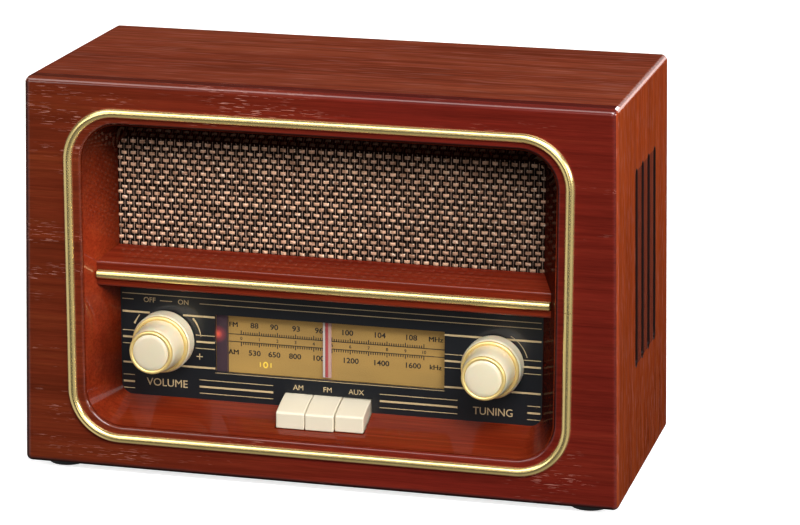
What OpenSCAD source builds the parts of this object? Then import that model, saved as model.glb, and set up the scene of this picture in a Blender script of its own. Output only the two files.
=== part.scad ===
// Tabletop radio with two loudspeakers behind a woven grille, a cord-driven tuning scale
// and three band keys. Millimetres. X runs to the right, Y to the back, Z up, and the origin
// is on the table under the middle of the radio.

/* [Cabinet] */
// Width of the cabinet along its bottom edge
cabinet_bottom_w = 284.2; // [280:0.1:300]
// Width of the cabinet along its top edge
cabinet_top_w = 275.7; // [270:0.1:284]
// Height of the wooden cabinet without its feet
cabinet_h = 185.4; // [184:0.1:200]
// Depth of the cabinet with its rear cover
cabinet_d = 130; // [128:0.5:160]
// Thickness of the wooden panels
panel_t = 9; // [8:0.5:10]
// Radius of the cabinet's long edges
edge_r = 3; // [1:0.5:5]
// Thickness of the rear cover
cover_t = 3; // [2:0.5:4]
// Height of the rubber feet
foot_h = 3; // [2:0.5:8]

/* [Front recess] */
// Half the width of the opening in the front panel
opening_half_w = 111.5; // [110:0.5:113]
// Lower edge of the opening, above the cabinet's underside
opening_low = 20.5; // [20:0.5:22]
// Upper edge of the opening
opening_high = 165; // [164:0.5:167]
// Corner radius of the opening
opening_r = 18; // [12:0.5:20]
// Depth from the front face to the grille and the dial panel
recess_d = 24; // [22:0.5:26]
// How far the recess walls lean inwards over that depth
wall_lean = 10.2; // [8:0.1:11]

/* [Brass trim] */
// Diameter of the brass tube
trim_d = 4.3; // [3:0.1:5]
// Half the width of the trim ring, along its centre line
ring_half_w = 117.4; // [116:0.1:119]
// Lower run of the trim ring
ring_low = 15.1; // [14:0.1:16]
// Upper run of the trim ring
ring_high = 170.4; // [169:0.1:172]
// Corner radius of the trim ring, along its centre line
ring_r = 23; // [18:0.5:26]
// Height of the brass rod on the cross bar
rod_z = 91.5; // [90:0.5:93]
// Depth of the cross bar's face behind the front face
bar_d = 9.2; // [8:0.1:11]

/* [Controls] */
// Distance of each knob's axis from the middle
knob_x = 78.9; // [76:0.1:82]
// Height of the knob axes
knob_z = 58; // [56:0.5:60]
// How far the knobs stand in front of the dial panel
knob_l = 25; // [22:0.5:28]
// Radius of the knurled base of a knob
knob_r = 14.2; // [12:0.1:15]
// Width of one key
key_w = 13.6; // [12:0.1:13.8]
// Distance from one key to the next
key_pitch = 13.95; // [13.95:0.05:14.2]
// How far a released key stands in front of the dial panel
key_l = 15.2; // [14:0.1:15.5]
// Travel of a key
key_travel = 4; // [2:0.5:4]
// How far the latched key is held in
latch_in = 1.6; // [0:0.1:2]

/* [Dial] */
// Half the width of the dial window
window_half_w = 55.2; // [54:0.1:56]
// Lower edge of the window
window_low = 43.7; // [43:0.1:45]
// Upper edge of the window
window_high = 71.5; // [70:0.1:72]
// Place of the pointer along the scale
pointer_x = -1.75; // [-42:0.25:45]
// Radius of the cord's path round the tuning spindle
spindle_path_r = 4; // [4:0.1:4.5]
// Radius of the cord's path round the tuning drum
drum_path_r = 27.85; // [27:0.05:28]

/* [Hidden] */
$fn = 48;

gap = 0.3;                              // between pieces that move past each other
running = 0.05;                         // radial clearance of a shaft in its bearing
front_y = -cabinet_d / 2;
floor_z = panel_t;                      // inside floor of the cabinet
trim_rad = trim_d / 2;
arc_steps = 8;                          // points in a quarter of an outline's arc

// Recess, measured at the depth of the grille and dial panel
inner_half_w = opening_half_w - wall_lean;
inner_low = opening_low + wall_lean - 1;
inner_high = opening_high - wall_lean - 0.7;
inner_r = 5.5;
lip_d = 1.5;                            // depth where the glossy frame starts
bezel_half_w = 119;
bezel_low = 11.9;
bezel_high = 171.9;

// Cross bar between the grille and the dial
bar_low = 85.7;
bar_high = 98;
bar_back_low = 81.5;
bar_back_high = 102.6;
bar_half_w = 112;
rod_half_l = 107.4;

// Depths of the layers behind the front face
dial_t = 1.6;
dial_back = recess_d + dial_t;
pointer_d = 27.1;
pointer_t = 1;
scale_d = 29;
scale_t = 1;
box_d = scale_d + scale_t;
box_back = 44;
rail_d = 40;
cord_d = 52;                            // plane of the cord, its pulleys and the drum
groove_w = 2;
flange_t = 0.9;
chassis_d = 57;
chassis_t = 1.5;
chassis_back = chassis_d + chassis_t;

// Grille and loudspeakers
cloth_t = 0.8;
baffle_t = 5;
speaker_x = 58;
speaker_z = (bar_back_high + inner_high) / 2;
speaker_w = 58;
speaker_hole_r = 25;
baffle_back = recess_d + cloth_t + baffle_t;
screw_r = 1.5;
screw_head_r = 3;
screw_head_t = 2.15;

// Cord drive
cord_r = 0.4;
pulley_path_r = 5;
pulley_x = 66;
pulley_z = 77;
pin_r = 1.5;
drum_z = 46;
shaft_r = 3;
rail_r = 1.5;
rail_z = 77.5;
rail_half_l = 58;
cord_top = pulley_z + pulley_path_r;

// Keys and selector switch
key_low = 23.6;
key_ridge = 31.4;
key_high = 36;
key_back = 3;                           // reach of a key behind the dial panel's face
key_mid_x = -0.6;
stem_w = 3;
stem_z = 30;
switch_d = 35;
switch_back = 46;

// Rear sockets, as they lie from left to right seen from the front
inlet_x = -84;
inlet_z = 30;
aux_x = 62;
aerial_x = 92;
socket_z = 26;
aux_bore_r = 1.75;
aux_bore_l = 14;
board_z = 15;
board_t = 1.6;

ivory = [0.93, 0.90, 0.80];
gold = [0.85, 0.70, 0.35];
brass = [0.88, 0.78, 0.48];
dark_wood = [0.42, 0.13, 0.09];
side_wood = [0.55, 0.25, 0.12];
steel = [0.75, 0.75, 0.77];

function deep(d) = front_y + d;
function half_w(z) = (cabinet_bottom_w - (cabinet_bottom_w - cabinet_top_w) * z / cabinet_h) / 2;
function arc(x, z, r, start, n = arc_steps) =
    [for (i = [0:n]) [x + r * cos(start + 90 * i / n), z + r * sin(start + 90 * i / n)]];
function rounded(x0, x1, z0, z1, r) = concat(
    arc(x1 - r, z1 - r, r, 0), arc(x0 + r, z1 - r, r, 90),
    arc(x0 + r, z0 + r, r, 180), arc(x1 - r, z0 + r, r, 270));
// The cabinet's outline seen from the front, set in by a margin
function outline(margin, r) =
    let (low = margin, high = cabinet_h - margin,
         x_high = half_w(high - r) - margin - r, x_low = half_w(low + r) - margin - r)
    concat(arc(x_high, high - r, r, 0), arc(-x_high, high - r, r, 90),
           arc(-x_low, low + r, r, 180), arc(x_low, low + r, r, 270));

module lift() translate([0, 0, foot_h]) children();
// A front view outline made solid from depth d0 to depth d1
module slab(d0, d1) translate([0, deep(d1), 0]) rotate([90, 0, 0]) linear_extrude(d1 - d0) children();
// A side view outline, drawn as [y, z], made solid from x0 to x1
module across(x0, x1) translate([x0, 0, 0]) rotate([90, 0, 90]) linear_extrude(x1 - x0) children();
// Local +Z turned to the back of the radio, from depth d
module backwards(x, z, d) translate([x, deep(d), z]) rotate([-90, 0, 0]) children();
// A cylinder along Y from depth d0 to depth d1
module pin(x, z, r, d0, d1) backwards(x, z, d0) cylinder(r = r, h = d1 - d0);
// A box by its corners, with depths in place of Y
module block(x0, x1, d0, d1, z0, z1)
    translate([x0, deep(d0), z0]) cube([x1 - x0, d1 - d0, z1 - z0]);

// ---- Cabinet ----
module cabinet_wall(corners) lift() intersection() {
    slab(panel_t, cabinet_d - cover_t) polygon(outline(0, edge_r));
    slab(panel_t, cabinet_d - cover_t) polygon(corners);
}
outer_top = half_w(cabinet_h);
outer_low = half_w(0);
inner_top = half_w(cabinet_h - panel_t) - panel_t;
inner_bottom = half_w(panel_t) - panel_t;
inside_top = cabinet_h - panel_t;

module top_panel() color(side_wood) cabinet_wall([
    [-outer_top, cabinet_h], [-inner_top, inside_top], [inner_top, inside_top], [outer_top, cabinet_h]]);
module bottom_panel() color(dark_wood) cabinet_wall([
    [-outer_low, 0], [outer_low, 0], [inner_bottom, floor_z], [-inner_bottom, floor_z]]);

vent_w = 4;
vent_low = 56;
vent_high = 147.5;
vent_pitch = 15.6;
vent_count = 4;
vent_mid_y = 4.1;
function vent_y(i) = vent_mid_y + (i - (vent_count - 1) / 2) * vent_pitch;
module vents() lift() for (i = [0:vent_count - 1])
    across(outer_top - 2 * panel_t, outer_low + 1)
        polygon(rounded(vent_y(i) - vent_w / 2, vent_y(i) + vent_w / 2,
                        vent_low, vent_high, vent_w / 2 - 0.01));
module right_side_panel() color(side_wood) difference() {
    cabinet_wall([
        [outer_low, 0], [outer_top, cabinet_h], [inner_top, inside_top], [inner_bottom, floor_z]]);
    vents();
}
module left_side_panel() color(side_wood) mirror([1, 0, 0]) right_side_panel();

module front_panel() color(dark_wood) lift() difference() {
    slab(0, panel_t) polygon(outline(0, edge_r));
    slab(-1, panel_t + 1)
        polygon(rounded(-opening_half_w, opening_half_w, opening_low, opening_high, opening_r));
}

module recess_shape() {
    skin = 0.01;
    edge = 0.6;     // thickness left to the frame at its front edge
    hull() {
        slab(lip_d - skin, lip_d) polygon(rounded(-opening_half_w + edge, opening_half_w - edge,
            opening_low + edge, opening_high - edge, opening_r - edge));
        slab(recess_d, recess_d + skin)
            polygon(rounded(-inner_half_w, inner_half_w, inner_low, inner_high, inner_r));
    }
}
notch_left = key_mid_x - 1.5 * key_pitch - 0.4;
notch_right = key_mid_x + 1.5 * key_pitch + 0.4;
notch_front_d = recess_d - key_l - 1;
module bezel_frame() color(dark_wood) lift() difference() {
    union() {
        difference() {
            union() {
                slab(lip_d, panel_t)
                    polygon(rounded(-opening_half_w, opening_half_w, opening_low, opening_high, opening_r));
                slab(panel_t, recess_d)
                    polygon(rounded(-bezel_half_w, bezel_half_w, bezel_low, bezel_high, inner_r));
            }
            recess_shape();
        }
        across(-bar_half_w, bar_half_w) polygon([
            [deep(bar_d), bar_low], [deep(recess_d), bar_back_low],
            [deep(recess_d), bar_back_high], [deep(bar_d), bar_high]]);
    }
    translate([-rod_half_l, deep(bar_d), rod_z]) rotate([0, 90, 0])
        cylinder(r = trim_rad + running, h = 2 * rod_half_l);
    block(notch_left, notch_right, notch_front_d, recess_d + 1, key_low - gap, key_high + 10);
}

// Half-round brass: the flat lies on the front face
module half_disc() intersection() {
    circle(r = trim_rad);
    translate([-trim_rad, 0]) square([trim_d, trim_rad]);
}
module ring_corner(x, z, turn)
    translate([x, z, 0]) rotate([0, 0, turn]) rotate_extrude(angle = 90) translate([ring_r, 0]) half_disc();
module trim_ring() color(brass) lift() translate([0, front_y, 0]) rotate([90, 0, 0]) {
    straight_x = ring_half_w - ring_r;
    low = ring_low + ring_r;
    high = ring_high - ring_r;
    for (z = [ring_low, ring_high])
        translate([-straight_x, z, 0]) rotate([90, 0, 90]) linear_extrude(2 * straight_x) half_disc();
    for (x = [-ring_half_w, ring_half_w])
        translate([x, high, 0]) rotate([90, 0, 0]) linear_extrude(high - low) half_disc();
    ring_corner(straight_x, high, 0);
    ring_corner(-straight_x, high, 90);
    ring_corner(-straight_x, low, 180);
    ring_corner(straight_x, low, 270);
}
module trim_rod() color(brass) lift() translate([-rod_half_l, deep(bar_d), rod_z])
    rotate([0, 90, 0]) cylinder(r = trim_rad, h = 2 * rod_half_l);

cover_inset = 1;
slot_l = 34;
slot_w = 2.5;
slot_pitch = 9;
slot_count = 15;
inlet_w = 21;
inlet_h = 13;
module rear_cover() color([0.12, 0.11, 0.10]) lift() difference() {
    slab(cabinet_d - cover_t, cabinet_d) polygon(outline(cover_inset, edge_r));
    for (i = [0:slot_count - 1], z = [84, 130])
        block((i - (slot_count - 1) / 2) * slot_pitch - slot_w / 2,
              (i - (slot_count - 1) / 2) * slot_pitch + slot_w / 2,
              cabinet_d - cover_t - 1, cabinet_d + 1, z, z + slot_l);
    block(inlet_x - inlet_w / 2, inlet_x + inlet_w / 2, cabinet_d - cover_t - 1, cabinet_d + 1,
          inlet_z - inlet_h / 2, inlet_z + inlet_h / 2);
    pin(aux_x, socket_z, 4.2, cabinet_d - cover_t - 1, cabinet_d + 1);
    pin(aerial_x, socket_z, 6.7, cabinet_d - cover_t - 1, cabinet_d + 1);
    for (p = cover_screws) pin(p[0], p[1], screw_r, cabinet_d - cover_t - 1, cabinet_d + 1);
}
screw_edge = panel_t / 2;
cover_screws = concat(
    [for (x = [-120, -40, 40, 120]) [x, screw_edge]],
    [for (x = [-120, -40, 40, 120]) [x, cabinet_h - screw_edge]]);
speaker_screw_at = 24.5;
speaker_frame_t = 1.5;
speaker_screws = [for (side = [-1, 1], i = [-1, 1], j = [-1, 1])
    [side * speaker_x + i * speaker_screw_at, speaker_z + j * speaker_screw_at]];
// Pan heads with their shanks pointing to the front
module screw_at(x, z, head_d, shank_l) {
    pin(x, z, screw_r - 0.05, head_d - shank_l, head_d + 0.5);
    backwards(x, z, head_d) rotate_extrude()
        polygon([[0, 0], [screw_head_r, 0], [screw_head_r, 1.1], [2, screw_head_t], [0, screw_head_t]]);
}
cover_screw_l = 14;
speaker_screw_l = 6;
module wood_screws() color(steel) lift() {
    for (p = cover_screws) screw_at(p[0], p[1], cabinet_d, cover_screw_l);
    for (p = speaker_screws) screw_at(p[0], p[1], baffle_back + speaker_frame_t, speaker_screw_l);
}

foot_r = 10;
foot_x = 126;
foot_y = 49;
module rubber_feet() color([0.06, 0.06, 0.06])
    for (x = [-foot_x, foot_x], y = [-foot_y, foot_y])
        translate([x, y, 0]) cylinder(r1 = foot_r - 1, r2 = foot_r, h = foot_h);

// ---- Grille and loudspeakers ----
grille_half_w = 114;
grille_low = 94;
grille_high = 162;
module grille_cloth() color([0.45, 0.36, 0.28]) lift()
    block(-grille_half_w, grille_half_w, recess_d, recess_d + cloth_t, grille_low, grille_high);
module speaker_baffle() color([0.35, 0.27, 0.18]) lift() difference() {
    block(-bezel_half_w, bezel_half_w, recess_d + cloth_t, baffle_back, grille_low, bezel_high);
    for (x = [-speaker_x, speaker_x])
        pin(x, speaker_z, speaker_hole_r, recess_d, baffle_back + 1);
}
// The outlines of the speaker parts are [radius, distance behind the baffle]
basket_l = 15;
basket_r = 16;
magnet_l = 11;
module speaker_frame(side) color([0.2, 0.2, 0.2]) lift() difference() {
    union() {
        block(side * speaker_x - speaker_w / 2, side * speaker_x + speaker_w / 2,
              baffle_back, baffle_back + speaker_frame_t,
              speaker_z - speaker_w / 2, speaker_z + speaker_w / 2);
        backwards(side * speaker_x, speaker_z, baffle_back) rotate_extrude() polygon([
            [speaker_hole_r + 1.2, 0], [speaker_hole_r + 1.2, 3], [basket_r, basket_l],
            [0, basket_l], [0, basket_l - 1.2], [basket_r - 1, basket_l - 1.2],
            [speaker_hole_r, 2.6], [speaker_hole_r, 0]]);
    }
    pin(side * speaker_x, speaker_z, speaker_hole_r, baffle_back - 1, baffle_back + speaker_frame_t + 1);
    for (i = [-1, 1], j = [-1, 1])
        pin(side * speaker_x + i * speaker_screw_at, speaker_z + j * speaker_screw_at, screw_r,
            baffle_back - 1, baffle_back + speaker_frame_t + 1);
}
module speaker_cone(side) color([0.08, 0.08, 0.08]) lift()
    backwards(side * speaker_x, speaker_z, baffle_back) rotate_extrude() polygon([
        [speaker_hole_r - 0.3, 0.6], [speaker_hole_r - 0.3, 1.2], [22.5, 1.2], [8, 10.4], [8, 12],
        [7.2, 12], [7.2, 9.4], [4, 7.6], [0, 6.6], [0, 6], [4.2, 7], [7.4, 8.9], [21.5, 0.6]]);
module speaker_magnet(side) color(steel) lift()
    pin(side * speaker_x, speaker_z, basket_r, baffle_back + basket_l, baffle_back + basket_l + magnet_l);
module left_speaker_frame() speaker_frame(-1);
module right_speaker_frame() speaker_frame(1);
module left_speaker_cone() speaker_cone(-1);
module right_speaker_cone() speaker_cone(1);
module left_speaker_magnet() speaker_magnet(-1);
module right_speaker_magnet() speaker_magnet(1);

// ---- Dial ----
dial_half_w = 112;
dial_low = 21;
dial_high = 90;
bush_r = 4.5;
module dial_panel() color([0.04, 0.04, 0.05]) lift() difference() {
    block(-dial_half_w, dial_half_w, recess_d, dial_back, dial_low, dial_high);
    block(-window_half_w, window_half_w, recess_d - 1, dial_back + 1, window_low, window_high);
    block(notch_left, notch_right, recess_d - 1, dial_back + 1, key_low - gap, key_high + gap);
    pin(-knob_x, knob_z, shaft_r + 1, recess_d - 1, dial_back + 1);
    pin(knob_x, knob_z, bush_r, recess_d - 1, dial_back + 1);
}
module dial_window() color([0.9, 0.9, 0.9, 0.3]) lift() {
    slip = 0.1;
    rim = 2;
    block(-window_half_w + slip, window_half_w - slip, recess_d, dial_back,
          window_low + slip, window_high - slip);
    block(-window_half_w - rim, window_half_w + rim, dial_back, pointer_d - 0.6,
          window_low - rim, window_high + rim);
}
scale_half_w = 57;
scale_low = 40;
scale_high = 73;
module scale_plate() color([0.82, 0.65, 0.38]) lift()
    block(-scale_half_w, scale_half_w, scale_d, scale_d + scale_t, scale_low, scale_high);
box_wall = 1.5;
post_x = 48;
post_z = 69;
module light_box() color([0.85, 0.85, 0.82]) lift() {
    difference() {
        block(-scale_half_w, scale_half_w, box_d, box_back, scale_low, scale_high);
        block(-scale_half_w + box_wall, scale_half_w - box_wall, box_d - 1, box_back - box_wall,
              scale_low + box_wall, scale_high - box_wall);
    }
    for (x = [-post_x, post_x]) pin(x, post_z, 2.5, box_back - 0.5, chassis_d);
}
lamp_r = 2.5;
lamp_l = 6;
// Each lamp is a round-nosed light on the back wall of the light box
module scale_lamps() color([1, 0.9, 0.7]) lift()
    for (p = [[-40, 57], [0, 57], [40, 57], [-30.5, 50]]) {
        pin(p[0], p[1], lamp_r, box_back - box_wall - lamp_l, box_back - box_wall);
        backwards(p[0], p[1], box_back - box_wall - lamp_l) sphere(r = lamp_r);
    }
// Smoked holder beside the scale, with a round red lamp in it
power_half_w = 2.6;
power_x = -window_half_w + power_half_w;
module power_lamp() color([0.6, 0.15, 0.12]) lift()
    block(power_x - power_half_w, power_x + power_half_w, pointer_d - 0.5, scale_d - 0.1,
          window_low - 1, window_high + 1);

// ---- Cord drive ----
pointer_w = 4;
sleeve_half_l = 5;
sleeve_r = 3;
clip_half_w = 3;
module pointer() color([0.95, 0.85, 0.85]) lift() difference() {
    union() {
        block(pointer_x - pointer_w / 2, pointer_x + pointer_w / 2, pointer_d, pointer_d + pointer_t,
              window_low + 0.3, rail_z);
        block(pointer_x - pointer_w / 2, pointer_x + pointer_w / 2, pointer_d, cord_d + 1.5,
              rail_z - 1.5, rail_z + 1.5);
        translate([pointer_x - sleeve_half_l, deep(rail_d), rail_z]) rotate([0, 90, 0])
            cylinder(r = sleeve_r, h = 2 * sleeve_half_l);
        block(pointer_x - clip_half_w, pointer_x + clip_half_w, cord_d - 1.5, cord_d + 1.5,
              rail_z - 1.5, cord_top + 1.5);
    }
    translate([pointer_x - sleeve_half_l - 1, deep(rail_d), rail_z]) rotate([0, 90, 0])
        cylinder(r = rail_r + running, h = 2 * sleeve_half_l + 2);
    block(pointer_x - clip_half_w - 1, pointer_x + clip_half_w + 1, cord_d - cord_r - gap,
          cord_d + cord_r + gap, cord_top - cord_r - gap, cord_top + 2);
}
rail_end_t = 2;
module pointer_rail() color(steel) lift() {
    translate([-rail_half_l, deep(rail_d), rail_z]) rotate([0, 90, 0])
        cylinder(r = rail_r, h = 2 * rail_half_l);
    for (x = [-rail_half_l, rail_half_l - rail_end_t])
        block(x, x + rail_end_t, rail_d - 3, chassis_d, rail_z - 3, rail_z + 3);
}

// The cord runs clockwise, seen from the front, over four wheels given as [x, z, path radius]
wheels = [
    [-pulley_x, pulley_z, pulley_path_r], [pulley_x, pulley_z, pulley_path_r],
    [knob_x, knob_z, spindle_path_r], [0, drum_z, drum_path_r]];
// Direction of the cord's contact normal on the run from one wheel to the next
function run_angle(a, b) = let (dx = b[0] - a[0], dz = b[1] - a[1])
    atan2(dz, dx) + acos((a[2] - b[2]) / sqrt(dx * dx + dz * dz));
function below(angle, top) = angle > top ? below(angle - 360, top) : angle;
cord_turn_step = 12;
cord_points = [for (i = [0:3])
    let (w = wheels[i],
         arrive = run_angle(wheels[(i + 3) % 4], w),
         leave = below(run_angle(w, wheels[(i + 1) % 4]), arrive),
         n = ceil((arrive - leave) / cord_turn_step))
    for (k = [0:n]) let (t = arrive + (leave - arrive) * k / n)
        [w[0] + w[2] * cos(t), deep(cord_d), w[1] + w[2] * sin(t)]];
function unit(v) = v / norm(v);
// Corners of one ring of a tube, round point p with its axis along t
function ring_at(p, t, r, up, sides) = let (u = unit(cross(t, up)), v = cross(unit(t), u))
    [for (s = [0:sides - 1]) p + r * cos(360 * s / sides) * u + r * sin(360 * s / sides) * v];
function ring_faces(i, j, sides) = [for (s = [0:sides - 1]) let (s2 = (s + 1) % sides)
    [i * sides + s, j * sides + s, j * sides + s2, i * sides + s2]];
// A tube that closes on itself
module loop_tube(points, r, up, sides = 8) {
    n = len(points);
    verts = [for (i = [0:n - 1])
        each ring_at(points[i], points[(i + 1) % n] - points[(i + n - 1) % n], r, up, sides)];
    polyhedron(points = verts, faces = [for (i = [0:n - 1]) each ring_faces(i, (i + 1) % n, sides)]);
}
// A tube with two flat ends
module open_tube(points, r, up, sides = 8) {
    n = len(points);
    verts = [for (i = [0:n - 1])
        each ring_at(points[i], points[min(i + 1, n - 1)] - points[max(i - 1, 0)], r, up, sides)];
    polyhedron(points = verts, faces = concat([[for (s = [0:sides - 1]) s]],
        [for (i = [0:n - 2]) each ring_faces(i, i + 1, sides)],
        [[for (s = [sides - 1:-1:0]) (n - 1) * sides + s]]));
}
// A smooth curve through a list of points, with n steps from each to the next
function smooth(p, n) = let (last = len(p) - 1) concat(
    [for (i = [0:last - 1], k = [0:n - 1]) let (t = k / n,
        a = p[max(i - 1, 0)], b = p[i], c = p[i + 1], d = p[min(i + 2, last)])
        b + (c - a) * t / 2 + (2 * a - 5 * b + 4 * c - d) * t * t / 2
          + (3 * b - 3 * c + d - a) * t * t * t / 2],
    [p[last]]);
module dial_cord() color([0.9, 0.88, 0.8]) lift() loop_tube(cord_points, cord_r, [0, 1, 0]);

// A grooved wheel about Y: the groove leaves room for the cord
module grooved(x, z, path_r, rim_r, bore_r) backwards(x, z, cord_d) rotate_extrude() {
    groove_r = path_r - cord_r - gap;
    side = groove_w / 2 + flange_t;
    polygon([[bore_r, -side], [rim_r, -side], [rim_r, -groove_w / 2], [groove_r, -groove_w / 2],
        [groove_r, groove_w / 2], [rim_r, groove_w / 2], [rim_r, side], [bore_r, side]]);
}
pulley_rim_r = 6.3;
module left_pulley() color(ivory) lift()
    grooved(-pulley_x, pulley_z, pulley_path_r, pulley_rim_r, pin_r + running);
module right_pulley() color(ivory) lift()
    grooved(pulley_x, pulley_z, pulley_path_r, pulley_rim_r, pin_r + running);
pin_head_d = cord_d - groove_w / 2 - flange_t - gap;
pin_head_t = 0.8;
module pulley_pins() color(steel) lift() for (x = [-pulley_x, pulley_x]) {
    pin(x, pulley_z, pin_r, pin_head_d - pin_head_t, chassis_d);
    pin(x, pulley_z, pin_r + 1, pin_head_d - pin_head_t, pin_head_d);
    pin(x, pulley_z, pin_r + 1.5, cord_d + groove_w / 2 + flange_t + gap, chassis_d);
}
drum_rim_r = 29.2;
drum_rim_w = 5;
hub_r = 7;
spoke_w = 6;
spoke_t = 2;
spigot_back = 68;
module tuning_drum() color(ivory) lift() {
    grooved(0, drum_z, drum_path_r, drum_rim_r, drum_rim_r - drum_rim_w);
    pin(0, drum_z, hub_r, cord_d - groove_w / 2 - flange_t, cord_d + groove_w / 2 + flange_t);
    for (a = [0:120:240])
        translate([0, deep(cord_d - spoke_t / 2), drum_z]) rotate([0, a, 0])
            translate([hub_r - 1, 0, -spoke_w / 2])
                cube([drum_rim_r - drum_rim_w - hub_r + 1.5, spoke_t, spoke_w]);
    pin(0, drum_z, shaft_r, cord_d, spigot_back);
}
capacitor_back = 76;
capacitor_half_w = 13;
module tuning_capacitor() color([0.8, 0.8, 0.75]) lift() difference() {
    block(-capacitor_half_w, capacitor_half_w, chassis_back, capacitor_back,
          drum_z - capacitor_half_w, drum_z + capacitor_half_w);
    pin(0, drum_z, shaft_r + running, chassis_back - 1, spigot_back + gap);
}
knob_shaft_front = recess_d - knob_l + 6;
spindle_back = 64;
spindle_flange_r = 5.5;
module tuning_spindle() color(steel) lift() {
    pin(knob_x, knob_z, shaft_r, knob_shaft_front, spindle_back);
    pin(knob_x, knob_z, spindle_path_r - cord_r - gap, cord_d - groove_w / 2, cord_d + groove_w / 2);
    for (d = [cord_d - groove_w / 2 - flange_t, cord_d + groove_w / 2])
        pin(knob_x, knob_z, spindle_flange_r, d, d + flange_t);
}
bush_back = dial_back + 5;
bush_nut_t = 1.2;
module spindle_bush() color(brass) lift() difference() {
    union() {
        pin(knob_x, knob_z, bush_r, recess_d - 0.4, bush_back);
        pin(knob_x, knob_z, bush_r + 2, dial_back, dial_back + bush_nut_t);
    }
    pin(knob_x, knob_z, shaft_r + running, recess_d - 1, bush_back + 1);
}

// ---- Knobs: outlines are [radius, distance in front of the dial panel] ----
base_front = 11.2;
ring_in_r = 11.75;
ring_out_r = 13.6;
cone_r = 11.65;
cone_mid = [11.2, 17];
cap_ring_r = 10.3;
cap_r = 8.65;
cap_seat = knob_l - 2.4;
module turned(x) backwards(x, knob_z, recess_d) mirror([0, 0, 1]) rotate_extrude() children();
module knob(x) color(ivory) lift() turned(x) polygon([
    [shaft_r + running, 0.8], [knob_r - 0.6, 0.8], [knob_r, 1.4], [knob_r, 7.4], [ring_out_r + 0.2, 9.6],
    [ring_in_r, 9.6], [ring_in_r, base_front - 0.6], [cone_r, base_front], cone_mid,
    [cap_ring_r, cap_seat], [0, cap_seat], [0, recess_d - knob_shaft_front + gap],
    [shaft_r + running, recess_d - knob_shaft_front + gap]]);
module knob_rings(x) color(gold) lift() {
    turned(x) polygon([[ring_in_r, 9.6], [ring_out_r, 9.6], [ring_out_r, 10.6],
        [ring_in_r + 0.4, base_front + 0.4], [ring_in_r, base_front + 0.4]]);
    turned(x) polygon([[cap_r, cap_seat], [cap_ring_r, cap_seat], [cap_ring_r, knob_l - 1],
        [cap_ring_r - 0.4, knob_l - 0.5], [cap_r, knob_l - 0.5]]);
}
module knob_cap(x) color(ivory) lift() turned(x) polygon([
    [0, cap_seat], [cap_r, cap_seat], [cap_r, knob_l - 0.8], [6, knob_l - 0.2], [0, knob_l]]);
module tuning_knob() knob(knob_x);
module volume_knob() knob(-knob_x);
module tuning_knob_rings() knob_rings(knob_x);
module volume_knob_rings() knob_rings(-knob_x);
module tuning_knob_cap() knob_cap(knob_x);
module volume_knob_cap() knob_cap(-knob_x);

control_back = 68;
control_r = 9;
collar_r = 4;
collar_front = chassis_d - 5;
control_nut_r = 6.5;
control_nut_t = 2;
volume_shaft_back = control_back - 4;
module volume_shaft() color(steel) lift()
    pin(-knob_x, knob_z, shaft_r, knob_shaft_front, volume_shaft_back);
module volume_control() color([0.3, 0.3, 0.32]) lift() difference() {
    union() {
        pin(-knob_x, knob_z, control_r, chassis_back, control_back);
        pin(-knob_x, knob_z, collar_r, collar_front, chassis_back + 0.5);
    }
    pin(-knob_x, knob_z, shaft_r + running, collar_front - 1, volume_shaft_back + gap);
}
module volume_control_nut() color(steel) lift() difference() {
    backwards(-knob_x, knob_z, chassis_d - control_nut_t)
        cylinder(r = control_nut_r, h = control_nut_t, $fn = 6);
    pin(-knob_x, knob_z, collar_r + running, chassis_d - control_nut_t - 1, chassis_d + 1);
}

chassis_half_w = 104;
chassis_low = 22;
chassis_high = 88;
spacer_at = [[-98, 28], [98, 28], [-98, 84], [98, 84]];
spacer_r = 3;
drum_hole_r = shaft_r + 2;
module dial_chassis() color(steel) lift() difference() {
    block(-chassis_half_w, chassis_half_w, chassis_d, chassis_back, chassis_low, chassis_high);
    pin(0, drum_z, drum_hole_r, chassis_d - 1, chassis_back + 1);
    pin(knob_x, knob_z, shaft_r + running, chassis_d - 1, chassis_back + 1);
    pin(-knob_x, knob_z, collar_r + running, chassis_d - 1, chassis_back + 1);
}
module chassis_spacers() color(brass) lift()
    for (p = spacer_at) pin(p[0], p[1], spacer_r, dial_back, chassis_d);

// ---- Keys ----
function key_x(i) = key_mid_x + (i - 1) * key_pitch;
function key_in(i) = i == 2 ? latch_in : 0;
module key(i) color(ivory) lift() translate([0, key_in(i), 0]) {
    across(key_x(i) - key_w / 2, key_x(i) + key_w / 2) polygon([
        [deep(recess_d - key_l), key_low], [deep(recess_d - key_l + 0.3), key_ridge - 0.4],
        [deep(recess_d - key_l + 1), key_ridge], [deep(recess_d), key_high],
        [deep(recess_d + key_back), key_high], [deep(recess_d + key_back), key_low]]);
    block(key_x(i) - stem_w / 2, key_x(i) + stem_w / 2, recess_d + key_back - 0.5, switch_d + 4,
          stem_z - stem_w / 2, stem_z + stem_w / 2);
}
module am_key() key(0);
module fm_key() key(1);
module aux_key() key(2);
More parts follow.
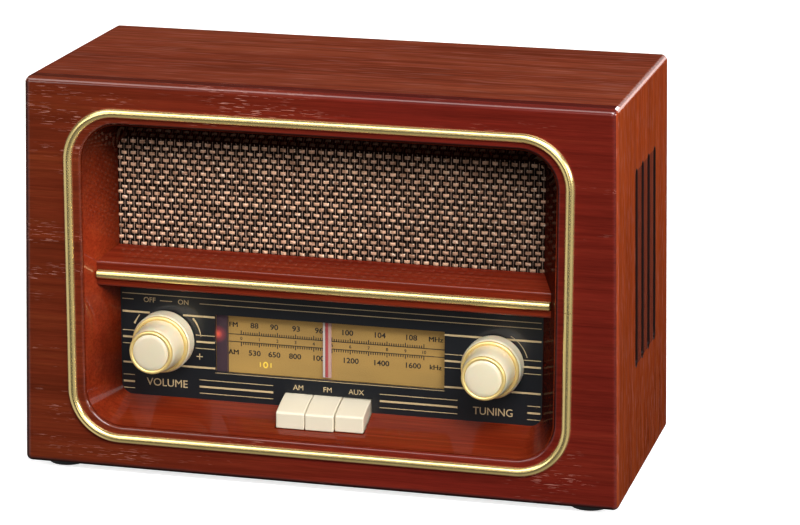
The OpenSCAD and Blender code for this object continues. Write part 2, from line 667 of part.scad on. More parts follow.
// An open coil spring between a key and the switch
module key_spring(i) {
    start = recess_d + key_back + key_in(i) + 0.4;
    length = switch_d - start - 0.4;
    coil_r = 2.7;
    wire_r = 0.3;
    turns = 4;
    steps = 14;
    n = turns * steps;
    color(steel) lift() translate([key_x(i), deep(start), stem_z])
        open_tube([for (k = [0:n]) let (a = 360 * k / steps)
                      [coil_r * cos(a), length * k / n, coil_r * sin(a)]],
                  wire_r, [0, 1, 0], 6);
}
module am_key_spring() key_spring(0);
module fm_key_spring() key_spring(1);
module aux_key_spring() key_spring(2);
switch_left = -24;
switch_right = 23;
switch_low = 22;
switch_high = 38;
ear_w = 12;
ear_t = 1.5;
leg_w = 3;
leg_high = 28;
module selector_switch() color([0.5, 0.5, 0.52]) lift() difference() {
    union() {
        block(switch_left, switch_right, switch_d, switch_back, switch_low, switch_high);
        block(switch_left - ear_w, switch_right + ear_w, switch_back - ear_t, switch_back,
              switch_low, leg_high);
        for (x = [switch_left - ear_w, switch_right + ear_w - leg_w])
            block(x, x + leg_w, switch_back - 1, chassis_d, switch_low, leg_high);
    }
    for (i = [0:2])
        block(key_x(i) - stem_w / 2 - gap, key_x(i) + stem_w / 2 + gap, switch_d - 1,
              switch_d + 4 + key_travel + latch_in + gap,
              stem_z - stem_w / 2 - gap, stem_z + stem_w / 2 + gap);
}

// ---- Electronics ----
board_left = -58;
board_right = 112;
board_d0 = 74;
board_d1 = 122;
aerial_z = 44;
aerial_d = 104;
aerial_left = -42;
aerial_right = 34;
rod_r = 5;
coil_l = 24;
post_inset = 6;
post_r = 3;
can_x = [-46, -34, 44, 56];
can_d = 84;
can_r = 4;
can_h = 12;
heat_sink = [[-10, 30], [88, 94], 14];
saddle_w = 4;
module main_board() color([0.15, 0.4, 0.2]) lift() {
    block(board_left, board_right, board_d0, board_d1, board_z, board_z + board_t);
    for (x = [board_left + post_inset, board_right - post_inset],
         d = [board_d0 + post_inset, board_d1 - post_inset])
        translate([x, deep(d), floor_z]) cylinder(r = post_r, h = board_z - floor_z + 0.2);
    for (x = can_x)
        translate([x, deep(can_d), board_z]) cylinder(r = can_r, h = can_h);
    block(heat_sink[0][0], heat_sink[0][1], heat_sink[1][0], heat_sink[1][1],
          board_z, board_z + heat_sink[2]);
    for (x = [aerial_left + 10, aerial_right - 14])
        block(x, x + saddle_w, aerial_d - 3, aerial_d + 3, board_z, aerial_z - rod_r);
}
// Each block of the transformer: [x0, x1], [depth0, depth1], [z0, z1] above the cabinet's floor
core = [[-110, -68], [66, 96], [0, 36]];
winding = [[-103, -75], [60, 102], [7, 29]];
flange = [[-116, -62], [76, 86], [0, 2]];
module transformer() color([0.55, 0.55, 0.55]) lift() {
    for (b = [core, winding, flange])
        block(b[0][0], b[0][1], b[1][0], b[1][1], floor_z + b[2][0], floor_z + b[2][1]);
}
module ferrite_aerial() color([0.2, 0.2, 0.2]) lift() {
    translate([aerial_left, deep(aerial_d), aerial_z]) rotate([0, 90, 0])
        cylinder(r = rod_r, h = aerial_right - aerial_left);
    translate([aerial_left + coil_l, deep(aerial_d), aerial_z]) rotate([0, 90, 0])
        cylinder(r = rod_r + 1, h = coil_l);
}

inlet_d0 = 108;
pin_gap = 8.6;
blade_r = 1.2;
inlet_recess_d = inlet_d0 + 8;
inlet_recess_half_w = 7.6;
inlet_recess_half_h = 4.2;
inlet_rim_w = 2;
inlet_rim_t = 1.5;
module mains_inlet() color([0.07, 0.07, 0.07]) lift() {
    body_half_w = inlet_w / 2 - 0.1;
    body_half_h = inlet_h / 2 - 0.1;
    rim_half_w = inlet_w / 2 + inlet_rim_w;
    rim_half_h = inlet_h / 2 + inlet_rim_w;
    difference() {
        union() {
            block(inlet_x - body_half_w, inlet_x + body_half_w, inlet_d0, cabinet_d + 1,
                  inlet_z - body_half_h, inlet_z + body_half_h);
            block(inlet_x - rim_half_w, inlet_x + rim_half_w, cabinet_d, cabinet_d + inlet_rim_t,
                  inlet_z - rim_half_h, inlet_z + rim_half_h);
        }
        block(inlet_x - inlet_recess_half_w, inlet_x + inlet_recess_half_w,
              inlet_recess_d, cabinet_d + 2,
              inlet_z - inlet_recess_half_h, inlet_z + inlet_recess_half_h);
    }
    for (side = [-1, 1])
        pin(inlet_x + side * pin_gap / 2, inlet_z, blade_r, inlet_recess_d - 1, cabinet_d - 2);
}
jack_front = 112;
jack_half_w = 7;
jack_nose_r = 4;
module aux_jack() color([0.1, 0.1, 0.1]) lift() difference() {
    union() {
        block(aux_x - jack_half_w, aux_x + jack_half_w, jack_front, cabinet_d - cover_t,
              board_z + board_t, socket_z + 5);
        pin(aux_x, socket_z, jack_nose_r, jack_front, cabinet_d);
    }
    pin(aux_x, socket_z, aux_bore_r, cabinet_d - aux_bore_l, cabinet_d + 1);
}
aerial_front = 114;
aerial_half_w = 8;
aerial_nose_r = 6.5;
aerial_bore_r = 4.75;
aerial_bore_l = 8;
aerial_pin_r = 1.4;
module aerial_socket() color(steel) lift() {
    difference() {
        union() {
            block(aerial_x - aerial_half_w, aerial_x + aerial_half_w, aerial_front,
                  cabinet_d - cover_t, board_z + board_t, socket_z + 6);
            pin(aerial_x, socket_z, aerial_nose_r, aerial_front, cabinet_d + 1.5);
        }
        pin(aerial_x, socket_z, aerial_bore_r, cabinet_d - aerial_bore_l, cabinet_d + 2);
    }
    pin(aerial_x, socket_z, aerial_pin_r, cabinet_d - aerial_bore_l - 1, cabinet_d - 1);
}

// Two leads, each a smooth curve through its points: [x, depth, z]
lead_r = 1.2;
speaker_lead = [
    [-58, 57, 128], [-58, 66, 118], [-50, 74, 96], [-20, 84, 70], [8, 90, 48], [10, 91, 30]];
mains_lead = [[-84, 106.5, 31], [-85, 104.5, 37], [-87, 99, 47], [-89, 92, 50], [-89, 90, 45.5]];
module wiring() color([0.7, 0.1, 0.1]) lift() translate([0, front_y, 0]) {
    open_tube(smooth(speaker_lead, 5), lead_r, [1, 0, 0]);
    open_tube(smooth(mains_lead, 4), lead_r, [1, 0, 0]);
}

top_panel();
bottom_panel();
left_side_panel();
right_side_panel();
front_panel();
bezel_frame();
trim_ring();
trim_rod();
rear_cover();
wood_screws();
rubber_feet();
grille_cloth();
speaker_baffle();
left_speaker_frame();
left_speaker_cone();
left_speaker_magnet();
right_speaker_frame();
right_speaker_cone();
right_speaker_magnet();
dial_panel();
dial_window();
scale_plate();
light_box();
scale_lamps();
power_lamp();
pointer();
pointer_rail();
dial_cord();
left_pulley();
right_pulley();
pulley_pins();
tuning_drum();
tuning_capacitor();
tuning_spindle();
spindle_bush();
tuning_knob();
tuning_knob_rings();
tuning_knob_cap();
volume_knob();
volume_knob_rings();
volume_knob_cap();
volume_shaft();
volume_control();
volume_control_nut();
dial_chassis();
chassis_spacers();
am_key();
fm_key();
aux_key();
am_key_spring();
fm_key_spring();
aux_key_spring();
selector_switch();
main_board();
transformer();
ferrite_aerial();
mains_inlet();
aux_jack();
aerial_socket();
wiring();
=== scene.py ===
"""The looks of a tabletop radio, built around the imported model. Lengths are in millimetres and
go through MM: x to the right, d is the depth behind the cabinet's front face, z is the height
above the cabinet's underside."""

import math
import random

import bmesh
import bpy
from mathutils import Matrix, Vector


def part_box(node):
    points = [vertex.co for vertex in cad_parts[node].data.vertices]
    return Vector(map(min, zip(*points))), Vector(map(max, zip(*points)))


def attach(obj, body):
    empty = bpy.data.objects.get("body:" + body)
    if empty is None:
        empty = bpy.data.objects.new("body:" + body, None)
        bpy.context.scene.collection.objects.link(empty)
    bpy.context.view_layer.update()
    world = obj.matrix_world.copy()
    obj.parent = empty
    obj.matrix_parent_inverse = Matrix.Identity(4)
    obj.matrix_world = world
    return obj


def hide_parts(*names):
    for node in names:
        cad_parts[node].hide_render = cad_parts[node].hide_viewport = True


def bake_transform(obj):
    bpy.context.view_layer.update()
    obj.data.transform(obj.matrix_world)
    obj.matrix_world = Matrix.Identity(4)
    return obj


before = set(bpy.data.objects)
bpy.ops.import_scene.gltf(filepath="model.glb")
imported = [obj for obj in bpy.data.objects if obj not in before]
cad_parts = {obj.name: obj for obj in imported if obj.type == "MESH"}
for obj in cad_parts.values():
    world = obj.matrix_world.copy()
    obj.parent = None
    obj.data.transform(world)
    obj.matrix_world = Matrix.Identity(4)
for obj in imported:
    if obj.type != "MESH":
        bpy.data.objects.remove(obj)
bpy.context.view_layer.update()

MM = 0.001
TAU = 2 * math.pi
front_low, front_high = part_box("front_panel")
FRONT_Y = front_low.y
BASE_Z = front_low.z


def at(x, d, z):
    """A point from its place in millimetres."""
    return Vector((x * MM, FRONT_Y + d * MM, BASE_Z + z * MM))


def span(node):
    """A CAD node's box in millimetres: (x0, x1), (d0, d1), (z0, z1)."""
    low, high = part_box(node)
    return ((low.x / MM, high.x / MM),
            ((low.y - FRONT_Y) / MM, (high.y - FRONT_Y) / MM),
            ((low.z - BASE_Z) / MM, (high.z - BASE_Z) / MM))


# ---- Driving dimensions ----
BOTTOM_HALF_W, TOP_HALF_W = 142.1, 137.85
HEIGHT = (front_high.z - front_low.z) / MM
PANEL_T = span("front_panel")[1][1]
BODY_BACK = span("top_panel")[1][1]
EDGE_R = 3
OPENING = (-111.5, 111.5, 20.5, 165)
OPENING_R = 18
LIP_R = 1.4
RECESS_D = span("dial_panel")[1][0]
INNER = (-101.3, 101.3, 29.7, 154.1)
INNER_R = 5.5
RING_HALF_W, RING_LOW, RING_HIGH, RING_R = 117.4, 15.1, 170.4, 23
TUBE_R = 2.15
ROD_Z = 91.5
BAR_D = 9.2
KNOB_X, KNOB_Z = 78.9, 58
KNURL_TEETH = 76
VENT_W, VENT_LOW, VENT_HIGH, VENT_PITCH, VENT_COUNT, VENT_MID_D = 4, 56, 147.5, 15.6, 4, 69.1
ARC_N = 12
SHARP_ANGLE = 35


# ---- Scene: camera, lights, floor ----
def aim(obj, back, up_hint=Vector((0, 0, 1))):
    """Turns a camera or light so that its local +Z is the direction back."""
    right = up_hint.cross(back).normalized()
    up = back.cross(right)
    obj.rotation_mode = "QUATERNION"
    obj.rotation_quaternion = Matrix((right, up, back)).transposed().to_quaternion()


def make_camera():
    azimuth, elevation, roll = math.radians(14.21), math.radians(15.09), math.radians(0.24)
    distance, shift_right, shift_up = 1.5465, 0.02278, -0.00395
    target = Vector((0, 0, 0.097))
    back = Vector((math.sin(azimuth) * math.cos(elevation),
                   -math.cos(azimuth) * math.cos(elevation), math.sin(elevation)))
    level = Vector((0, 0, 1)).cross(back).normalized()
    above = back.cross(level)
    right = level * math.cos(roll) + above * math.sin(roll)
    up = above * math.cos(roll) - level * math.sin(roll)
    data = bpy.data.cameras.new("camera")
    data.sensor_width = 36
    data.lens = 147.25
    data.clip_start, data.clip_end = 0.05, 50
    camera = bpy.data.objects.new("camera", data)
    bpy.context.scene.collection.objects.link(camera)
    camera.location = target + back * distance + right * shift_right + up * shift_up
    aim(camera, back, up)
    bpy.context.scene.camera = camera


def softbox(name, place, towards, size, power):
    """A rectangular lamp of a size in metres and a power in watts."""
    data = bpy.data.lights.new(name, "AREA")
    data.shape = "RECTANGLE"
    data.size, data.size_y = size
    data.energy = power
    light = bpy.data.objects.new(name, data)
    bpy.context.scene.collection.objects.link(light)
    light.location = place
    aim(light, (Vector(place) - Vector(towards)).normalized(), Vector((0.01, 1, 0.02)))


def make_studio():
    """A white background that lights nothing, and six softboxes that light the radio."""
    scene = bpy.context.scene
    scene.view_settings.view_transform = "Standard"
    scene.view_settings.look = "None"
    world = bpy.data.worlds.new("studio")
    scene.world = world
    world.use_nodes = True
    background = world.node_tree.nodes["Background"]
    background.inputs["Color"].default_value = (1, 1, 1, 1)
    background.inputs["Strength"].default_value = 1.0
    world.cycles_visibility.glossy = False
    world.cycles_visibility.diffuse = False
    centre = (0, 0, 0.1)
    softbox("key", (0.5, -1.0, 1.05), centre, (1.0, 0.5), 27)
    softbox("right_side", (1.4, -0.48, 0.5), centre, (0.4, 0.7), 12.5)
    softbox("front_left", (-0.8, -1.1, 0.5), centre, (0.5, 0.7), 3)
    softbox("front_fill", (0.3, -1.7, 0.4), centre, (1.0, 0.7), 4.5)
    softbox("left_back", (-1.5, 0.7, 0.7), centre, (0.8, 0.8), 12)
    softbox("right_back", (0.6, 1.7, 0.6), centre, (0.8, 0.6), 9)


def make_dome():
    """A dim room that only reflections see: a bright band high in front, pale cards low at both sides."""
    radius, strength = 5, 5.0
    bm = bmesh.new()
    bmesh.ops.create_uvsphere(bm, u_segments=32, v_segments=24, radius=radius)
    bmesh.ops.reverse_faces(bm, faces=bm.faces)
    mesh = bpy.data.meshes.new("room")
    bm.to_mesh(mesh)
    bm.free()
    room = bpy.data.objects.new("room", mesh)
    bpy.context.scene.collection.objects.link(room)
    m = Mat("room", (0, 0, 0), roughness=1.0)
    m.set("Specular IOR Level", 0.0)
    split = m.node("SeparateXYZ")
    m.link(m.coords((1 / radius, 1 / radius, 1 / radius)), split.inputs[0])
    level = m.math("MULTIPLY_ADD", split.outputs["Z"], 0.5, 0.5)
    above = m.ramp(level, (0.1, 0.06), (0.3, 0.004), (0.66, 0.004), (0.9, 0.03))
    sideways = m.ramp(m.math("MULTIPLY_ADD", split.outputs["X"], 0.5, 0.5),
                      (0.2, 0.12), (0.3, 0.0), (0.72, 0.0), (0.82, 0.07))
    low = m.ramp(level, (0.45, 1.0), (0.62, 0.0))
    cards = m.mix(1.0, sideways, low, "MULTIPLY")
    ahead = m.ramp(m.math("MULTIPLY", split.outputs["Y"], -1.0), (0.05, 0.0), (0.3, 1.0))
    raised = m.ramp(level, (0.5, 0.0), (0.58, 0.06), (0.8, 0.05), (0.84, 1.0), (0.92, 1.0),
                    (0.95, 0.03))
    band = m.mix(1.0, ahead, raised, "MULTIPLY")
    m.glow(m.mix(1.0, m.mix(1.0, above, cards, "ADD"), band, "ADD"), strength)
    mesh.materials.append(m.mat)
    room.visible_camera = False
    room.visible_diffuse = False
    room.visible_transmission = False
    room.visible_shadow = False


def make_floor():
    """A white floor that takes shadows, but isn't seen in reflections and lights nothing."""
    mesh = bpy.data.meshes.new("floor")
    half = 6
    corners = [(-half, -half, 0), (half, -half, 0), (half, half, 0), (-half, half, 0)]
    mesh.from_pydata(corners, [], [(0, 1, 2, 3)])
    floor = bpy.data.objects.new("floor", mesh)
    bpy.context.scene.collection.objects.link(floor)
    m = Mat("floor", (0.93, 0.93, 0.93), roughness=0.9)
    m.set("Emission Color", (1, 1, 1, 1))
    m.set("Emission Strength", 0.75)
    mesh.materials.append(m.mat)
    floor.visible_glossy = False
    floor.visible_diffuse = False


# ---- Materials ----
class Mat:
    """A Principled material with helpers for its node tree."""

    def __init__(self, name, colour, roughness=0.5, metallic=0.0, coat=0.0, coat_roughness=0.05,
                 **more):
        self.mat = bpy.data.materials.new(name)
        self.mat.use_nodes = True
        self.tree = self.mat.node_tree
        self.bsdf = self.tree.nodes["Principled BSDF"]
        self.set("Base Color", (*colour, 1))
        self.set("Roughness", roughness)
        self.set("Metallic", metallic)
        self.set("Coat Weight", coat)
        self.set("Coat Roughness", coat_roughness)
        for key, value in more.items():
            self.set(key.replace("_", " "), value)
        self.place = None

    def set(self, socket, value):
        self.bsdf.inputs[socket].default_value = value

    def node(self, kind, **values):
        node = self.tree.nodes.new("ShaderNode" + kind)
        for key, value in values.items():
            setattr(node, key, value)
        return node

    def link(self, output, target):
        self.tree.links.new(output, target)

    def coords(self, scale):
        """Object coordinates in metres, times a scale for each axis."""
        if self.place is None:
            self.place = self.node("TexCoord").outputs["Object"]
        mapping = self.node("Mapping")
        mapping.inputs["Scale"].default_value = scale
        self.link(self.place, mapping.inputs["Vector"])
        return mapping.outputs["Vector"]

    def noise(self, scale, detail=3.0, roughness=0.55, distortion=0.0):
        noise = self.node("TexNoise")
        noise.inputs["Scale"].default_value = 1.0
        noise.inputs["Detail"].default_value = detail
        noise.inputs["Roughness"].default_value = roughness
        noise.inputs["Distortion"].default_value = distortion
        self.link(self.coords(scale), noise.inputs["Vector"])
        return noise.outputs["Fac"]

    def ramp(self, value, *stops):
        """stops are (position, colour) or (position, number)."""
        node = self.node("ValToRGB")
        elements = node.color_ramp.elements
        while len(elements) < len(stops):
            elements.new(0.5)
        for element, (position, colour) in zip(elements, stops):
            element.position = position
            grey = isinstance(colour, (int, float))
            element.color = (colour, colour, colour, 1) if grey else (*colour, 1)
        self.link(value, node.inputs["Fac"])
        return node.outputs["Color"]

    def mix(self, share, a, b, blend="MIX"):
        node = self.node("Mix", data_type="RGBA", blend_type=blend)
        for socket, value in ((node.inputs[0], share), (node.inputs[6], a), (node.inputs[7], b)):
            if isinstance(value, bpy.types.NodeSocket):
                self.link(value, socket)
            elif isinstance(value, tuple):
                socket.default_value = (*value, 1)
            else:
                socket.default_value = value
        return node.outputs[2]

    def math(self, operation, a, b=0.0, c=0.0):
        node = self.node("Math", operation=operation)
        for socket, value in zip(node.inputs, (a, b, c)):
            if isinstance(value, bpy.types.NodeSocket):
                self.link(value, socket)
            else:
                socket.default_value = value
        return node.outputs[0]

    def colour(self, output):
        self.link(output, self.bsdf.inputs["Base Color"])

    def roughness(self, output):
        self.link(output, self.bsdf.inputs["Roughness"])

    def bump(self, height, strength, distance):
        node = self.node("Bump")
        node.inputs["Strength"].default_value = strength
        node.inputs["Distance"].default_value = distance
        self.link(height, node.inputs["Height"])
        self.link(node.outputs["Normal"], self.bsdf.inputs["Normal"])

    def glow(self, output, strength):
        self.link(output, self.bsdf.inputs["Emission Color"])
        self.set("Emission Strength", strength)

    def near(self, point, radius):
        """1 at a point, falling to 0 at a radius."""
        away = self.node("VectorMath", operation="DISTANCE")
        self.link(self.coords((1, 1, 1)), away.inputs[0])
        away.inputs[1].default_value = point
        return self.math("SUBTRACT", 1.0, self.math("DIVIDE", away.outputs["Value"], radius))

    def clusters(self):
        """Where the pores of the front lie open: 0 in most places, more near a few points."""
        total = None
        for x, z, radius in ((-120, 163, 50), (-95, 181, 45), (-35, 179, 60), (45, 176, 45),
                             (-132, 110, 35), (-125, 20, 26), (0, 8, 45), (110, 14, 30), (60, 158, 40)):
            close = self.math("MAXIMUM", self.near(at(x, 0, z), radius * MM), 0.0)
            total = close if total is None else self.math("MAXIMUM", total, close)
        return self.math("MULTIPLY_ADD", total, 0.22, -0.11)


def along(axis, lengthwise, across):
    """Scales for a pattern that is drawn out along one axis."""
    return tuple(lengthwise if i == "xyz".index(axis) else across for i in range(3))


def veneer(name, dark, middle, light, axis, density=1.0, roughness=0.4, coat=0.8, coat_roughness=0.08,
           pores=0.0, pore_colour=(0.55, 0.26, 0.2), speckle=0.0, warm=None, fade=None, shade=None,
           back_shade=None, ribs=False):
    """Stained and lacquered wood whose grain runs along an axis. density scales the grain. pores and
    speckle are the shares of pale open pores and fine pale flecks. warm tints the left end. fade and
    shade are painted shade: ramps over the height and over the way a face looks. deep paints shade
    on the left wall of the recess, darker towards the back. ribs darkens the strips between the vent
    slots."""
    m = Mat(name, middle, roughness=roughness, coat=coat, coat_roughness=coat_roughness)
    m.set("Specular IOR Level", 0.0)
    broad = m.noise(along(axis, 5, 150 * density), detail=3, roughness=0.65, distortion=0.4)
    streaks = m.noise(along(axis, 16, 900 * density), detail=4, roughness=0.65)
    fine = m.noise(along(axis, 90, 3600 * density), detail=1)
    base = m.ramp(broad, (0.25, dark), (0.5, middle), (0.78, light))
    base = m.mix(0.6, base, m.ramp(streaks, (0.36, 0.5), (0.62, 1.0)), "MULTIPLY")
    base = m.mix(0.4, base, m.ramp(fine, (0.35, 0.5), (0.65, 1.0)), "MULTIPLY")
    place = m.node("SeparateXYZ")
    m.link(m.coords((1, 1, 1)), place.inputs[0])
    if warm:
        across = m.math("MULTIPLY_ADD", place.outputs["X"], 3.0, 0.5)
        tint = m.ramp(across, (0.1, warm), (0.6, (1.0, 1.0, 1.0)), (0.92, (0.82, 0.82, 0.84)))
        base = m.mix(1.0, base, tint, "MULTIPLY")
    # Painted shade: fade darkens the colour by height, where less light reaches
    if fade:
        up = m.math("MULTIPLY", place.outputs["Z"], 5.0)
        base = m.mix(1.0, base, m.ramp(up, *fade), "MULTIPLY")
    facing = m.node("SeparateXYZ")
    m.link(m.node("NewGeometry").outputs["Normal"], facing.inputs[0])
    if shade:
        # Painted shade: faces that look down or to the left see less of the room, so their colour and coat
        # are darkened
        open_side = m.math("ADD", facing.outputs["X"], facing.outputs["Z"])
        share = m.ramp(m.math("MULTIPLY_ADD", open_side, 0.5, 0.5), *shade)
        base = m.mix(1.0, base, share, "MULTIPLY")
        m.link(m.math("MULTIPLY", share, coat), m.bsdf.inputs["Coat Weight"])
    if back_shade:
        # Painted shade: walls that face right turn dark towards the back of the recess
        depth = m.math("DIVIDE", m.math("SUBTRACT", place.outputs["Y"], FRONT_Y), RECESS_D * MM)
        wall = m.ramp(facing.outputs["X"], (0.6, 0.0), (0.8, 1.0))
        darker = m.mix(1.0, base, m.ramp(depth, (0.35, 1.0), (1.0, back_shade)), "MULTIPLY")
        base = m.mix(wall, base, darker)
    if speckle:
        dots = m.noise(along(axis, 90 * density, 1500 * density), detail=1)
        dots = m.ramp(dots, (0.58, 0.0), (0.66, 1.0))
        base = m.mix(m.mix(1.0, dots, (speckle, speckle, speckle), "MULTIPLY"), base, pore_colour)
    if ribs:
        # Darkens the strips between the vent slots towards purple-brown
        middle_y, middle_z = at(0, VENT_MID_D, 0).y, at(0, 0, (VENT_LOW + VENT_HIGH) / 2).z
        depth = m.math("ABSOLUTE", m.math("SUBTRACT", place.outputs["Y"], middle_y))
        tall = m.math("ABSOLUTE", m.math("SUBTRACT", place.outputs["Z"], middle_z))
        inside = m.math("MULTIPLY", m.math("LESS_THAN", depth, (VENT_COUNT - 1) / 2 * VENT_PITCH * MM),
                        m.math("LESS_THAN", tall, (VENT_HIGH - VENT_LOW) / 2 * MM))
        base = m.mix(m.math("MULTIPLY", inside, 0.65), base, (0.09, 0.022, 0.016))
    relief = streaks
    if pores:
        flecks = m.ramp(m.noise(along(axis, 130, 3400), detail=1.5), (0.62, 0.0), (0.66, 1.0))
        worn = m.math("ADD", m.noise(along(axis, 18, 130), detail=3), m.clusters())
        mask = m.mix(1.0, flecks, m.ramp(worn, (0.53, 0.0), (0.66, 1.0)), "MULTIPLY")
        base = m.mix(m.mix(1.0, mask, (pores, pores, pores), "MULTIPLY"), base, pore_colour)
        relief = m.math("SUBTRACT", streaks, mask)
    m.colour(base)
    m.bump(relief, 0.12, 0.0001)
    return m.mat


def metal(name, colour, roughness, streaks=0.08, axis="x", metallic=1.0):
    """Metal with some tarnish. streaks is how much its roughness varies along an axis."""
    m = Mat(name, colour, roughness=roughness, metallic=metallic)
    marks = m.noise(along(axis, 60, 900), detail=2)
    low, high = max(roughness - streaks, 0.02), roughness + streaks
    m.roughness(m.ramp(marks, (0.3, low), (0.7, high)))
    tarnish = m.noise((45, 45, 45), detail=3)
    dull = tuple(0.72 * c for c in colour)
    m.colour(m.mix(m.ramp(tarnish, (0.45, 0.0), (0.75, 0.35)), colour, dull))
    return m.mat


def plastic(name, colour, roughness=0.35, coat=0.3, grain=600, bump=0.05, shade=0.9, **more):
    """Smooth plastic or paint. shade is how dark its dark places are."""
    m = Mat(name, colour, roughness=roughness, coat=coat, **more)
    tone = m.noise((30, 30, 30), detail=3)
    darker = tuple(shade * c for c in colour)
    m.colour(m.mix(m.ramp(tone, (0.35, 0.0), (0.7, 1.0)), colour, darker))
    m.bump(m.noise((grain, grain, grain), detail=2), bump, 0.0001)
    return m.mat


def fibre(name, colour, dark):
    """Pressed board or paper."""
    m = Mat(name, colour, roughness=0.85)
    m.colour(m.mix(m.noise((900, 900, 900), detail=4), colour, dark))
    m.bump(m.noise((1400, 1400, 1400), detail=3), 0.4, 0.0002)
    return m.mat


def yarn(name, colour, dark, fleck=None, sheen=0.2, shine=0.15, dim=None):
    """Twisted thread. fleck is the colour of its bright spots, dim is painted shade that darkens the cloth's
    right end.
    """
    m = Mat(name, colour, roughness=0.8, Sheen_Weight=sheen)
    m.set("Specular IOR Level", shine)
    twist = m.noise((900, 900, 2600), detail=2)
    tone = m.noise((300, 300, 420), detail=2)
    base = m.mix(m.ramp(tone, (0.35, 0.0), (0.65, 1.0)), dark, colour)
    if fleck:
        spots = m.ramp(m.noise((700, 700, 700), detail=1), (0.6, 0.0), (0.68, 1.0))
        base = m.mix(spots, base, fleck)
    base = m.mix(m.ramp(twist, (0.3, 0.0), (0.7, 0.4)), base, dark)
    if dim:
        # Painted shade: the cloth's right end lies in the frame's shade
        place = m.node("SeparateXYZ")
        m.link(m.coords((5, 1, 1)), place.inputs[0])
        base = m.mix(1.0, base, m.ramp(place.outputs["X"], (0.0, 1.0), (0.5, dim)), "MULTIPLY")
    m.colour(base)
    m.bump(twist, 0.5, 0.0002)
    return m.mat


make_camera()
make_studio()
make_dome()
make_floor()

